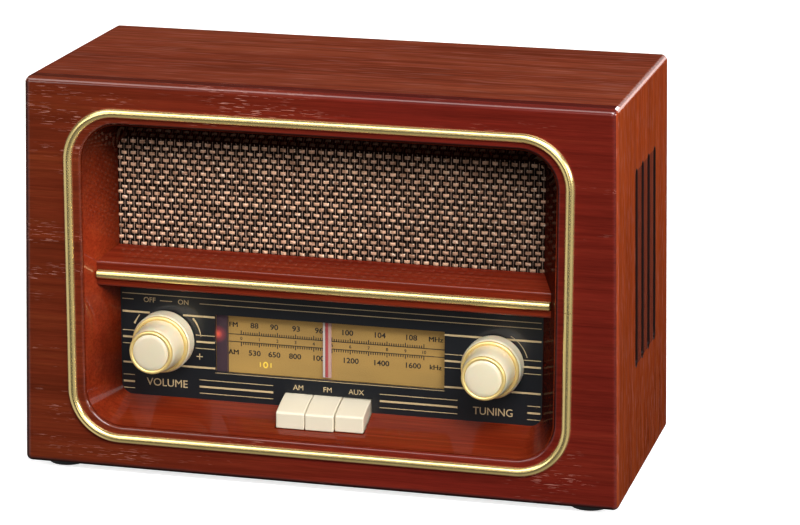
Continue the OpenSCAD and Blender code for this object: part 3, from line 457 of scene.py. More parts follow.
MATS = {
    # The front's down- and left-facing edges carry painted shade
    "front": veneer("front_veneer", (0.125, 0.0115, 0.0065), (0.165, 0.0145, 0.0082),
                    (0.205, 0.022, 0.011), "x", pores=0.8, coat=1.0, warm=(0.95, 1.6, 1.0),
                    shade=((0.25, 0.25), (0.42, 1.0))),
    "top": veneer("top_veneer", (0.15, 0.027, 0.012), (0.235, 0.043, 0.019), (0.32, 0.072, 0.031), "x",
                  coat=0.25, coat_roughness=0.25, speckle=0.14, density=0.4),
    # The side is painted darker towards the bottom, as shade
    "side": veneer("side_veneer", (0.3, 0.038, 0.008), (0.39, 0.056, 0.01), (0.48, 0.08, 0.015), "z",
                   coat=0.4, coat_roughness=0.15, speckle=0.2, fade=((0.0, 0.65), (0.35, 0.85), (0.8, 1.0)),
                   ribs=True),
    # Near-black walls for the vent slots
    "slot_dark": veneer("vent_slot_dark", (0.008, 0.003, 0.003), (0.012, 0.005, 0.004), (0.02, 0.008, 0.006), "z",
                    coat=0.15, coat_roughness=0.3),
    "underside": veneer("bottom_wood", (0.09, 0.02, 0.01), (0.13, 0.03, 0.015), (0.18, 0.05, 0.02), "x",
                        coat=0.1, coat_roughness=0.4),
    "gloss": veneer("gloss_wood", (0.13, 0.01, 0.004), (0.19, 0.02, 0.007), (0.25, 0.032, 0.01), "x",
                    coat=0.7, coat_roughness=0.03, roughness=0.3),
    # The recess carries painted shade by facing, by height, and towards the back of its left wall
    "recess": veneer("recess_wood", (0.25, 0.024, 0.007), (0.3, 0.032, 0.009), (0.35, 0.045, 0.012), "x",
                     coat=0.55, coat_roughness=0.03, roughness=0.3,
                     shade=((0.05, 0.28), (0.5, 0.8), (0.9, 1.0)),
                     fade=((0.1, 0.6), (0.3, 0.72), (0.55, 1.0), (0.76, 0.3)), back_shade=0.35),
    "brass": metal("brass_tube", (0.86, 0.66, 0.27), 0.22, streaks=0.0, metallic=0.86),
    "brass_parts": metal("turned_brass", (0.72, 0.55, 0.25), 0.25),
    "gold": metal("gold_plate", (0.78, 0.58, 0.22), 0.4, streaks=0.03, metallic=0.5),
    "steel": metal("zinc_plate", (0.6, 0.6, 0.62), 0.3),
    "dark_metal": plastic("black_paint", (0.03, 0.03, 0.033), roughness=0.45),
    "ferrite": plastic("ferrite", (0.05, 0.05, 0.055), roughness=0.6, bump=0.3),
    "hardboard": fibre("painted_hardboard", (0.035, 0.031, 0.028), (0.018, 0.016, 0.014)),
    "fibreboard": fibre("raw_fibreboard", (0.16, 0.1, 0.055), (0.09, 0.055, 0.03)),
    "paper": fibre("cone_paper", (0.02, 0.02, 0.02), (0.01, 0.01, 0.01)),
    "rubber": plastic("foot_rubber", (0.012, 0.012, 0.012), roughness=0.8, coat=0, bump=0.3),
    "panel": plastic("black_panel", (0.006, 0.007, 0.009), roughness=0.35, coat=0.35, bump=0.01),
    "key_ivory": plastic("key_plastic", (0.74, 0.66, 0.5), roughness=0.3, coat=0.6, shade=0.96, bump=0.02),
    "ivory": plastic("ivory_plastic", (0.74, 0.65, 0.46), roughness=0.28, coat=0.6, shade=0.95, bump=0.02,
                     Subsurface_Weight=0.15, Subsurface_Scale=0.002),
    "white": plastic("white_plastic", (0.7, 0.69, 0.62), roughness=0.5),
    "dark": plastic("dark_plastic", (0.02, 0.02, 0.022), roughness=0.5, bump=0.2),
    "capacitor": plastic("capacitor_case", (0.6, 0.58, 0.48), roughness=0.5),
    "lamp": plastic("warm_lamp", (0.9, 0.8, 0.5), roughness=0.3, Emission_Color=(1, 0.75, 0.4, 1),
                    Emission_Strength=1.0),
    "board": plastic("circuit_board", (0.02, 0.09, 0.035), roughness=0.4, shade=0.7),
    "iron": metal("laminated_iron", (0.3, 0.3, 0.31), 0.45, streaks=0.15, axis="z"),
    "wire": plastic("red_insulation", (0.35, 0.02, 0.02), roughness=0.45),
    "cord": yarn("dial_cord", (0.6, 0.56, 0.45), (0.35, 0.32, 0.25)),
    "print": plastic("tan_print", (0.6, 0.45, 0.24), roughness=0.4, shade=0.85),
    "scale_print": plastic("black_print", (0.02, 0.015, 0.01), roughness=0.5),
    "red_line": plastic("red_line", (0.5, 0.08, 0.08), roughness=0.4),
    # The weft and the thin threads carry painted shade at the cloth's right end
    "weft": yarn("tan_weft", (0.84, 0.5, 0.32), (0.3, 0.15, 0.085), fleck=(0.95, 0.72, 0.55), dim=0.6),
    "warp": yarn("black_warp", (0.012, 0.006, 0.004), (0.003, 0.002, 0.001), sheen=0, shine=0.02),
    "thin": yarn("pale_strand", (0.4, 0.26, 0.19), (0.1, 0.06, 0.045), sheen=0, dim=0.6),
    "ground": yarn("ground_weave", (0.012, 0.006, 0.004), (0.004, 0.002, 0.001), sheen=0, shine=0.02),
}


def scale_material():
    """Amber plastic that is lit a little from behind."""
    m = Mat("amber_scale", (0.42, 0.25, 0.075), roughness=0.5)
    m.set("Specular IOR Level", 0.1)
    tone = m.noise((18, 18, 40), detail=2)
    base = m.mix(m.ramp(tone, (0.3, 0.0), (0.7, 1.0)), (0.38, 0.235, 0.075), (0.5, 0.3, 0.085))
    m.colour(base)
    m.glow(base, 0.12)
    return m.mat


def clear_material(name, colour, alpha):
    return Mat(name, colour, roughness=0.05, Alpha=alpha).mat


def power_material(point):
    """Smoked plastic with a red light behind one point."""
    m = Mat("smoked_lamp", (0.05, 0.028, 0.035), roughness=0.4)
    m.glow(m.ramp(m.near(point, 4.5 * MM), (0.0, (0.012, 0.005, 0.008)), (0.5, (0.2, 0.02, 0.02)),
                  (1.0, (1.0, 0.12, 0.05))), 1.0)
    return m.mat


# ---- Mesh helpers ----
def loose_object(name, bm):
    """An object from a bmesh, which is used up."""
    mesh = bpy.data.meshes.new(name)
    bmesh.ops.recalc_face_normals(bm, faces=bm.faces)
    bm.to_mesh(mesh)
    bm.free()
    obj = bpy.data.objects.new(name, mesh)
    bpy.context.scene.collection.objects.link(obj)
    return obj


def piece(name, bm, materials, body="cabinet", replaces=(), slot=None, angle=SHARP_ANGLE, weighted=True):
    """Turns a bmesh into a finished piece that rides on a body. materials is one material or a list."""
    obj = loose_object(name, bm)
    obj.data.shade_smooth()
    obj.data.set_sharp_from_angle(angle=math.radians(angle))
    for material in materials if isinstance(materials, list) else [materials]:
        obj.data.materials.append(material)
    if weighted:
        obj.modifiers.new("normals", "WEIGHTED_NORMAL").keep_sharp = True
    if body:
        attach(obj, body)
    if replaces:
        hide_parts(*replaces)
    return obj


def grid(bm, rows, close_rows=False, close_columns=False, cap_rows=False, cap_columns=False):
    """Faces between rows of points of equal length. cap_rows fills the first and last row,
    cap_columns the first and last column."""
    made = [[bm.verts.new(p) for p in row] for row in rows]
    n, m = len(made), len(made[0])
    for i in range(n if close_rows else n - 1):
        for j in range(m if close_columns else m - 1):
            a, b = made[i], made[(i + 1) % n]
            k = (j + 1) % m
            bm.faces.new((a[j], a[k], b[k], b[j]))
    if cap_rows:
        bm.faces.new(made[0])
        bm.faces.new(made[-1])
    if cap_columns:
        bm.faces.new([row[0] for row in made])
        bm.faces.new([row[-1] for row in made])


def arc(x, z, r, start, n=ARC_N):
    """Points of a quarter circle from an angle in degrees."""
    return [(x + r * math.cos(math.radians(start + 90 * i / n)),
             z + r * math.sin(math.radians(start + 90 * i / n))) for i in range(n + 1)]


def rounded(x0, x1, z0, z1, r, n=ARC_N):
    """The outline of a rectangle with rounded corners."""
    return (arc(x1 - r, z1 - r, r, 0, n) + arc(x0 + r, z1 - r, r, 90, n)
            + arc(x0 + r, z0 + r, r, 180, n) + arc(x1 - r, z0 + r, r, 270, n))


def half_w(z):
    """Half the cabinet's width at a height: it narrows towards the top."""
    return BOTTOM_HALF_W - (BOTTOM_HALF_W - TOP_HALF_W) * z / HEIGHT


def cabinet_outline(margin, r, n=ARC_N):
    """The cabinet's outline seen from the front, set in by a margin."""
    low, high = margin, HEIGHT - margin
    x_high, x_low = half_w(high - r) - margin - r, half_w(low + r) - margin - r
    return (arc(x_high, high - r, r, 0, n) + arc(-x_high, high - r, r, 90, n)
            + arc(-x_low, low + r, r, 180, n) + arc(x_low, low + r, r, 270, n))


def loop_at(outline, d):
    return [at(x, d, z) for x, z in outline]


def quarter(n):
    """Angles from 0 to 90 degrees, in radians."""
    return [math.pi / 2 * i / n for i in range(n + 1)]


def add_box(bm, x0, x1, d0, d1, z0, z1):
    rows = [[at(x, d, z) for x, z in ((x0, z0), (x1, z0), (x1, z1), (x0, z1))] for d in (d0, d1)]
    grid(bm, rows, close_columns=True, cap_rows=True)


def revolve(bm, centre, profile, segments=128, wobble=None):
    """A solid of revolution about Y. The profile is [(radius, depth)], and wobble(angle, depth,
    radius) adds to the radius."""
    x, z = centre
    rows = []
    for r, d in profile:
        row = []
        for k in range(segments):
            a = TAU * k / segments
            rr = r + (wobble(a, d, r) if wobble else 0)
            row.append(at(x + rr * math.cos(a), d, z + rr * math.sin(a)))
        rows.append(row)
    grid(bm, rows, close_columns=True, cap_rows=True)


def cut(obj, *cutters):
    """Takes the cutters' solids out of a piece, applies the result and smooths it again."""
    for cutter in cutters:
        modifier = obj.modifiers.new("cut", "BOOLEAN")
        modifier.object = cutter
        modifier.operation = "DIFFERENCE"
        modifier.solver = "EXACT"
        modifier.material_mode = "TRANSFER"
    graph = bpy.context.evaluated_depsgraph_get()
    mesh = bpy.data.meshes.new_from_object(obj.evaluated_get(graph))
    obj.modifiers.clear()
    obj.data = mesh
    for cutter in cutters:
        bpy.data.objects.remove(cutter)
    mesh.set_sharp_from_angle(angle=math.radians(SHARP_ANGLE))
    obj.modifiers.new("normals", "WEIGHTED_NORMAL").keep_sharp = True


# ---- Cabinet ----
def make_front():
    """The front panel, with a rounded outer edge and a lip round its opening. The narrow strip that
    wraps round each side takes the side's veneer."""
    edge_strip = 0.9
    bm = bmesh.new()
    x0, x1, z0, z1 = OPENING
    rows = []

    def opening(grow, d):
        outline = rounded(x0 - grow, x1 + grow, z0 - grow, z1 + grow, OPENING_R + grow)
        rows.append(loop_at(outline, d))

    def outer(margin, d):
        rows.append(loop_at(cabinet_outline(margin, max(EDGE_R - margin, 0.05)), d))

    opening(0, PANEL_T)
    for a in quarter(6):
        opening(LIP_R * (1 - math.cos(a)), LIP_R * (1 - math.sin(a)))
    for a in quarter(6):
        outer(EDGE_R * (1 - math.sin(a)), EDGE_R * (1 - math.cos(a)))
    outer(0, PANEL_T)
    grid(bm, rows, close_rows=True, close_columns=True)
    for face in bm.faces:
        face.normal_update()
        centre = face.calc_center_median()
        beyond = abs(centre.x) / MM > half_w((centre.z - BASE_Z) / MM) - edge_strip
        face.material_index = 1 if beyond else 0
    piece("cabinet_front", bm, [MATS["front"], MATS["side"]], replaces=["front_panel"],
          slot="front_veneer")


def panel_prism(first_corner, last_corner):
    """The part of the cabinet's wall from the middle of one corner to the middle of the next."""
    n = ARC_N
    outer = cabinet_outline(0, EDGE_R, n)
    inner = cabinet_outline(PANEL_T, 0.05, n)
    start, end = first_corner * (n + 1) + n // 2, last_corner * (n + 1) + n // 2
    if end < start:
        end += 4 * (n + 1)
    picked = [outer[i % len(outer)] for i in range(start, end + 1)]
    back = [inner[end % len(inner)], inner[start % len(inner)]]
    bm = bmesh.new()
    grid(bm, [loop_at(picked + back, PANEL_T), loop_at(picked + back, BODY_BACK)],
         close_columns=True, cap_rows=True)
    return bm


def vent_cutter(side, d):
    """A slot through a side panel, with a rounded mouth."""
    bm = bmesh.new()
    r = VENT_W / 2
    lip = 1.2
    rows = []

    def stadium(share, sink):
        grow = lip * share
        points = rounded(d - r - grow, d + r + grow, VENT_LOW - grow, VENT_HIGH + grow, r + grow - 0.02, 8)
        rows.append([at(side * (half_w(z) - sink), depth, z) for depth, z in points])

    stadium(1.0, -0.6)
    for a in quarter(8):
        stadium(1 - math.sin(a), lip * (1 - math.cos(a)))
    stadium(0, PANEL_T + 3)
    grid(bm, rows, close_columns=True, cap_rows=True)
    cutter = loose_object("vent_cutter", bm)
    cutter.data.materials.append(MATS["slot_dark"])
    return cutter


def make_body():
    """The top, the bottom and the two sides with their vent slots."""
    piece("cabinet_top", panel_prism(0, 1), MATS["top"], replaces=["top_panel"], slot="top_veneer")
    piece("cabinet_bottom", panel_prism(2, 3), MATS["underside"], replaces=["bottom_panel"],
          slot="bottom_wood")
    for name, corners, side in (("left", (1, 2), -1), ("right", (3, 0), 1)):
        obj = piece(f"cabinet_{name}", panel_prism(*corners), MATS["side"],
                    replaces=[f"{name}_side_panel"], slot="side_veneer", weighted=False)
        depths = [VENT_MID_D + (i - (VENT_COUNT - 1) / 2) * VENT_PITCH for i in range(VENT_COUNT)]
        cut(obj, *[vent_cutter(side, d) for d in depths])


def make_bezel():
    """The flared frame that lines the recess, with a notch for the keys."""
    bm = bmesh.new()
    ox0, ox1, oz0, oz1 = OPENING
    ix0, ix1, iz0, iz1 = INNER
    edge = 0.5
    rows = []

    def ring(box, r, d):
        rows.append(loop_at(rounded(*box, r), d))

    steps = 6
    for i in range(steps + 1):
        t = i / steps
        box = ((ox0 + edge) * (1 - t) + ix0 * t, (ox1 - edge) * (1 - t) + ix1 * t,
               (oz0 + edge) * (1 - t) + iz0 * t, (oz1 - edge) * (1 - t) + iz1 * t)
        ring(box, (OPENING_R - edge) * (1 - t) + INNER_R * t, LIP_R + (RECESS_D - LIP_R) * t)
    (x0, x1), _, (z0, z1) = span("bezel_frame")
    ring((x0, x1, z0, z1), INNER_R, RECESS_D)
    ring((x0, x1, z0, z1), INNER_R, PANEL_T)
    ring(OPENING, OPENING_R, PANEL_T)
    ring(OPENING, OPENING_R, LIP_R)
    grid(bm, rows, close_rows=True, close_columns=True)
    obj = piece("recess_frame", bm, MATS["recess"], replaces=["bezel_frame"], slot="gloss_wood",
                weighted=False)
    key_low = span("am_key")[2][0]
    left, right = span("am_key")[0][0] - 0.6, span("aux_key")[0][1] + 0.6
    bm = bmesh.new()
    add_box(bm, left, right, RECESS_D - 16.2, RECESS_D + 1, key_low - 0.3, key_low + 22)
    cut(obj, loose_object("key_notch", bm))


def make_cross_bar():
    """A bar with a rounded front edge, which carries the brass rod in a groove."""
    low, high, back_low, back_high = 85.7, 98, 81.5, 102.6
    r, groove = 1.3, TUBE_R + 0.05
    profile = [(RECESS_D, back_low)]
    profile += [(BAR_D + r - r * math.sin(a), low + r - r * math.cos(a)) for a in quarter(5)]
    profile += [(BAR_D + groove * math.sin(math.pi * i / 12), ROD_Z - groove * math.cos(math.pi * i / 12))
                for i in range(13)]
    profile += [(BAR_D + r - r * math.cos(a), high - r + r * math.sin(a)) for a in quarter(5)]
    profile += [(RECESS_D, back_high)]
    bm = bmesh.new()
    rows = [[at(x, d, z) for d, z in profile] for x in (-112, 112)]
    grid(bm, rows, close_columns=True, cap_rows=True)
    piece("cross_bar", bm, MATS["gloss"], replaces=["bezel_frame"], slot="gloss_wood")


# ---- Brass trim ----
def make_trim():
    """The brass tube round the opening, half sunk in the front, and the rod on the cross bar."""
    seam_z, seam = 92, 0.25
    rows = []
    turns = 16
    for i in range(turns + 1):
        a = math.pi * i / turns
        grow, d = -TUBE_R * math.cos(a), -TUBE_R * math.sin(a)
        w, r = RING_HALF_W + grow, RING_R + grow
        points = rounded(-w, w, RING_LOW - grow, RING_HIGH + grow, r, 20)
        points = [(w, seam_z + seam / 2)] + points + [(w, seam_z - seam / 2)]
        rows.append([at(x, d, z) for x, z in points])
    bm = bmesh.new()
    grid(bm, rows, close_rows=True, cap_columns=True)
    piece("brass_ring", bm, MATS["brass"], replaces=["trim_ring"], slot="brass_trim")

    (x0, x1), _, _ = span("trim_rod")
    chamfer = 0.3
    bm = bmesh.new()
    rows = []
    for x, r in ((x0, TUBE_R - chamfer), (x0 + chamfer, TUBE_R),
                 (x1 - chamfer, TUBE_R), (x1, TUBE_R - chamfer)):
        rows.append([at(x, BAR_D + r * math.cos(TAU * k / 48), ROD_Z + r * math.sin(TAU * k / 48))
                     for k in range(48)])
    grid(bm, rows, close_columns=True, cap_rows=True)
    piece("brass_rod", bm, MATS["brass"], replaces=["trim_rod"], slot="brass_trim")


# ---- Grille cloth ----
def strand(bm, points, half_a, half_b, axis_a, axis_b, sides=6):
    """A thread with an oval section along a list of points."""
    turn = [TAU * k / sides for k in range(sides)]
    ring = [axis_a * (half_a * math.cos(a)) + axis_b * (half_b * math.sin(a)) for a in turn]
    grid(bm, [[p + offset for offset in ring] for p in points], close_columns=True, cap_rows=True)


def make_cloth():
    """A plain weave of tan weft over pairs of black warp threads, with a thin pale thread between
    each pair, in front of a black ground."""
    draw = random.Random(11)
    x0, x1, _, top = INNER
    pitch_x, pitch_z, steps = 2.26, 2.7, 4
    middle_d, swing = RECESS_D + 0.35, 0.34
    low, high = 102.4, top + 0.2
    columns = [x0 + pitch_x * (i + 0.3) for i in range(int((x1 - x0) / pitch_x) + 1)]
    rows = [low + pitch_z * (j + 0.4) for j in range(int((high - low) / pitch_z) + 1)]
    rows = [z for z in rows if z < high]
    x_axis, y_axis, z_axis = Vector((MM, 0, 0)), Vector((0, MM, 0)), Vector((0, 0, MM))
    weft, warp, thin = bmesh.new(), bmesh.new(), bmesh.new()
    for j, z in enumerate(rows):
        lift, phase = draw.uniform(-0.15, 0.15), 0 if j % 2 else 1
        points = []
        for k in range(len(columns) * steps + 1):
            x = columns[0] + pitch_x * (k / steps - 0.5)
            wave = math.cos(math.pi * ((x - columns[0]) / pitch_x + phase))
            points.append(at(x, middle_d - swing * wave - 0.05, z + lift + 0.1 * math.sin(x * 0.7 + j)))
        strand(weft, points, 0.76 + draw.uniform(-0.1, 0.06), 0.4, z_axis, y_axis)
    threads = ((warp, -0.52, 0.47, 0.3, 0), (warp, 0.52, 0.47, 0.3, 0), (thin, 0.0, 0.17, 0.17, 0.22))
    for i, x in enumerate(columns):
        lean = draw.uniform(-0.12, 0.12)
        for bm, offset, half_a, half_b, forward in threads:
            points = []
            for k in range(len(rows) * steps + 3):
                z = rows[0] + pitch_z * (k / steps - 0.75)
                wave = math.cos(math.pi * ((z - rows[0]) / pitch_z + (0 if i % 2 else 1) + 1))
                points.append(at(x + offset + lean, middle_d - swing * wave - forward,
                                 min(max(z, low), high)))
            strand(bm, points, half_a, half_b, x_axis, y_axis)
    made = [piece(name, bm, MATS[material], slot="grille_cloth", weighted=False, angle=60)
            for name, bm, material in (("grille_weft", weft, "weft"), ("grille_warp", warp, "warp"),
                                       ("grille_thin_threads", thin, "thin"))]
    (gx0, gx1), (_, gd1), (gz0, gz1) = span("grille_cloth")
    ground = bmesh.new()
    nx, nz = 60, 20
    depth = gd1 - 0.02
    grid(ground, [[at(gx0 + (gx1 - gx0) * i / nx, depth, gz0 + (gz1 - gz0) * j / nz) for i in range(nx + 1)]
                  for j in range(nz + 1)])
    sheet = piece("grille_ground", ground, MATS["ground"], replaces=["grille_cloth"],
                  slot="grille_cloth", weighted=False)


# ---- Dial panel print ----
def words(text, x, d, z, height, name, squeeze=1.0, bold=0.0):
    """Lettering as thin closed solids, centred on x, with its foot at z. height is the cap height."""
    data = bpy.data.curves.new(name, "FONT")
    data.body = text
    data.size = height * MM / 0.73
    data.align_x = "CENTER"
    data.extrude = 0.00001
    data.offset = bold * MM
    data.resolution_u = 4
    curve = bpy.data.objects.new(name + "_curve", data)
    bpy.context.scene.collection.objects.link(curve)
    graph = bpy.context.evaluated_depsgraph_get()
    mesh = bpy.data.meshes.new_from_object(curve.evaluated_get(graph))
    bpy.data.objects.remove(curve)
    place = at(x, d, z)
    for v in mesh.vertices:
        v.co = Vector((place.x + v.co.x * squeeze, place.y - v.co.z, place.z + v.co.y))
    mesh.materials.clear()
    return mesh


def join_meshes(name, meshes, material, **options):
    """One piece from several meshes."""
    bm = bmesh.new()
    for mesh in meshes:
        bm.from_mesh(mesh)
    piece(name, bm, material, weighted=False, **options)


def make_panel_print():
    """The lines, arrows and words on the black panel."""
    d0, d1 = RECESS_D - 0.05, RECESS_D + 0.02
    bm = bmesh.new()
    thin, thick = 0.32, 0.9
    left, right = INNER[0] + 0.8, INNER[1] - 0.8
    window_x0, window_x1 = span("dial_window")[0][0] + 2, span("dial_window")[0][1] - 2
    left_gap, right_gap = 14.6, 12

    def stripe(x0, x1, z, width):
        add_box(bm, x0, x1, d0, d1, z - width / 2, z + width / 2)

    stripe(left, right, 79.0, thin)
    stripe(-62.5, right, 76.2, thin)
    stripe(left, -95, 76.2, thin)
    for z, width in ((70.1, thick), (60.9, thin), (57.7, thick), (54.5, thin), (45.2, thick)):
        reach = math.sqrt(max(left_gap ** 2 - (z - KNOB_Z) ** 2, 3 ** 2))
        stripe(left, -KNOB_X - reach, z, width)
        stripe(-KNOB_X + reach, window_x0, z, width)
        reach = math.sqrt(max(right_gap ** 2 - (z - KNOB_Z) ** 2, 2 ** 2))
        stripe(window_x1, KNOB_X - reach, z, width)
        stripe(KNOB_X + reach, right, z, width)
    for z, width in ((39.1, thin), (35.8, thick), (32.6, thin)):
        stripe(left, -95, z, width)
        stripe(-63, -27, z, width)
        stripe(24.5, 61.5, z, width)
        stripe(94.5, right, z, width)
    stripe(window_x0, window_x1, span("dial_window")[2][0] + 2 - 0.55, 0.25)
    stripe(-82, -76, 76.3, 0.3)
    stripe(-64.3, -61.3, 50.5, 0.4)
    add_box(bm, -63.0, -62.6, d0, d1, 49.0, 52.0)
    # Arrows round the knobs
    n = 12
    for centre_x, r, start, end, growth in ((-KNOB_X, 17, 140, 158, 0.3), (-KNOB_X, 17, 8, 40, 0.3),
                                            (KNOB_X, 15.6, 15, 62, -0.06)):
        rows = []
        for k in range(n + 1):
            a = math.radians(start + (end - start) * k / n)
            width = 0.15 + growth * k / n
            rows.append([at(centre_x + (r + o) * math.cos(a), d, KNOB_Z + (r + o) * math.sin(a))
                         for o, d in ((-width, d0), (width, d0), (width, d1), (-width, d1))])
        grid(bm, rows, close_columns=True, cap_rows=True)
    piece("panel_stripes", bm, MATS["print"], slot="black_panel", weighted=False)
    labels = (("OFF", -87.1, 75.2, 2.5, 1.0), ("ON", -70.5, 75.2, 2.5, 1.0),
              ("VOLUME", -78.9, 34.6, 3.8, 1.0), ("TUNING", 78.3, 33.2, 3.8, 0.95),
              ("AM", -14.7, 37.9, 2.6, 1.0), ("FM", -0.6, 37.9, 2.6, 1.0), ("AUX", 13.2, 37.9, 2.6, 1.0))
    join_meshes("panel_lettering",
                [words(t, x, RECESS_D - 0.02, z, h, "label", squeeze=s) for t, x, z, h, s in labels],
                MATS["print"], slot="black_panel")


def make_scale():
    """The print on the amber scale, and the small lit mark that shows through it."""
    front = span("scale_plate")[1][0]
    d0, d1 = front - 0.06, front + 0.01
    bm = bmesh.new()
    zero, ten = -43.85, 44.2
    upper, lower = 61.3, 57.65
    x0, x1 = -50.5, 54.0
    line, tick = 0.19, 0.23
    add_box(bm, x0, x1, d0, d1, upper - line, upper + line)
    add_box(bm, x0, x1, d0, d1, lower - line, lower + line)
    parts = 8
    for k in range(10 * parts + 1):
        x = zero + (ten - zero) * k / (10 * parts)
        tall = 2.0 if k % parts == 0 else 1.3
        add_box(bm, x - tick, x + tick, d0, d1, upper, upper + tall)
        add_box(bm, x - tick, x + tick, d0, d1, lower - tall, lower)
    piece("scale_lines", bm, MATS["scale_print"], slot="scale", weighted=False)
    texts = [(str(k), zero + (ten - zero) * k / 10, 58.65, 1.6, 1.0, 0.04) for k in range(11)]
    fm_z, am_z = 64.8, 51.4
    for z, numbers in ((fm_z, (("88", -37.4), ("90", -27.8), ("93", -17.1), ("96", -6.1),
                               ("100", 7.45), ("104", 23.0), ("108", 38.0))),
                       (am_z, (("530", -37.4), ("650", -27.8), ("800", -17.7), ("1000", -5.5),
                               ("1200", 9.1), ("1400", 23.8), ("1600", 38.9)))):
        texts += [(t, x, z, 2.6, 1.12, 0.08) for t, x in numbers]
    # Each unit is printed twice, a little apart, so that its strokes are as broad as the numbers'
    texts += [(t, x + shift, z, 2.5, 1.05, 0.0) for shift in (-0.11, 0.11)
              for t, x, z in (("FM", -47.6, fm_z), ("MHz", 49.8, fm_z),
                              ("AM", -47.6, am_z), ("kHz", 49.8, am_z))]
    join_meshes("scale_lettering", [words(t, x, front - 0.03, z, h, "number", wide, bold)
                                    for t, x, z, h, wide, bold in texts], MATS["scale_print"], slot="scale")
    # The lit mark is an oval ring between two bars
    glow = plastic("tuned_glow", (0.85, 0.6, 0.08), Emission_Color=(1.0, 0.66, 0.05, 1),
                   Emission_Strength=0.35)
    mark_x, mark_z, half_w_out, half_h_out, stroke = -32.05, 47.3, 1.25, 1.6, 0.65
    bm = bmesh.new()
    turn = [TAU * k / 32 for k in range(32)]
    section = ((0, front), (0, front - 0.08), (stroke, front - 0.08), (stroke, front))
    grid(bm, [[at(mark_x + (half_w_out - t) * math.cos(a), d, mark_z + (half_h_out - t) * math.sin(a))
               for a in turn] for t, d in section], close_rows=True, close_columns=True)
    for x in (mark_x - 2.6, mark_x + 2.6):
        add_box(bm, x - 0.25, x + 0.25, front - 0.06, front, mark_z - 1.1, mark_z + 1.1)
    piece("tuned_light", bm, glow, slot="warm_lamp", weighted=False)


def make_pointer_line():
    """The red line down the clear pointer, and a white strip, a painted highlight where its edge catches the
    light.
    """
    (x0, x1), (d0, _), (z0, _) = span("pointer")
    middle = (x0 + x1) / 2
    bm = bmesh.new()
    low, high = z0 + 0.2, span("dial_window")[2][1] - 2.2
    add_box(bm, middle - 0.7, middle + 0.6, d0 - 0.06, d0 + 0.02, low, high)
    piece("pointer_line", bm, MATS["red_line"], body="needle", slot="pointer_acrylic", weighted=False)
    # Painted highlight: a white strip where the pointer's edge catches the light
    bm = bmesh.new()
    add_box(bm, middle - 1.75, middle - 1.05, d0 - 0.05, d0 + 0.02, low, high)
    piece("pointer_edge_highlight", bm, MATS["white"], body="needle", slot="pointer_acrylic", weighted=False)


# ---- Knobs and keys ----
def make_knob(name, x, body):
    """A knob with a knurled skirt, two gold rings and a glued face. t is the distance out from the
    dial panel."""
    knurl_from, knurl_to, knurl_fade, knurl_depth = 1.4, 8.2, 0.8, 0.34

    def depth(t):
        return RECESS_D - t

    def knurl(angle, d, r):
        t = RECESS_D - d
        if not knurl_from <= t <= knurl_to or r < 13:
            return 0
        fade = min(1, (t - knurl_from) / knurl_fade, (knurl_to - t) / knurl_fade)
        twist = t * 0.35 * 0.12
        left, right = (math.sin(KNURL_TEETH / 2 * (angle + turn)) for turn in (twist, -twist))
        return -knurl_depth * fade * (1 - abs(left * right))

    bm = bmesh.new()
    profile = [(3.2, 0.8), (13.2, 0.8), (13.7, 0.95), (14.0, 1.4)]
    profile += [(14.15, knurl_from + (knurl_to - knurl_from) * k / 22) for k in range(1, 23)]
    profile += [(14.05, 8.5), (13.9, 8.9), (13.65, 9.2), (13.4, 9.4), (11.8, 9.45), (11.8, 10.9),
                (11.7, 11.2), (11.65, 11.8)]
    profile += [(11.65 - 0.45 * (k / 8) ** 1.4, 11.8 + 6.5 * k / 8) for k in range(1, 9)]
    profile += [(11.05, 19.6), (10.85, 20.8), (10.6, 21.8), (10.4, 22.3), (10.2, 22.5), (8.9, 22.5),
                (8.9, 22.2), (3.2, 22.2)]
    revolve(bm, (x, KNOB_Z), [(r, depth(t)) for r, t in profile], 304, knurl)
    piece(f"{name}_body", bm, MATS["ivory"], body=body, replaces=[name], slot="ivory", weighted=False,
          angle=40)

    def ring(bm, inner, outer, t0, t1, bulge):
        """A band with a rounded front between two radii."""
        n, segments = 10, 128
        centre, half = (inner + outer) / 2, (outer - inner) / 2
        points = [(inner, t0)]
        points += [(centre - half * math.cos(math.pi * k / n), t1 - bulge + bulge * math.sin(math.pi * k / n))
                   for k in range(n + 1)]
        points += [(outer, t0)]
        turn = [TAU * k / segments for k in range(segments)]
        rows = [[at(x + r * math.cos(a), depth(t), KNOB_Z + r * math.sin(a)) for a in turn]
                for r, t in points]
        grid(bm, rows, close_rows=True, close_columns=True)

    bm = bmesh.new()
    ring(bm, 11.75, 13.6, 9.3, 11.0, 0.8)
    ring(bm, 8.65, 10.3, 22.2, 24.6, 0.8)
    piece(f"{name}_gold", bm, MATS["gold"], body=body, replaces=[f"{name}_rings"], slot="gold_rings",
          weighted=False, angle=50)
    bm = bmesh.new()
    profile = [(8.6, 22.3), (8.6, 24.1), (8.45, 24.3), (8.1, 24.45)]
    profile += [(7.7 * math.cos(a) + 0.02, 24.5 + 0.45 * math.sin(a)) for a in quarter(8)[:-1]]
    profile += [(0.4, 24.97)]
    revolve(bm, (x, KNOB_Z), [(r, depth(t)) for r, t in profile], 96)
    piece(f"{name}_face", bm, MATS["ivory"], body=body, replaces=[f"{name}_cap"], slot="ivory",
          weighted=False, angle=40)


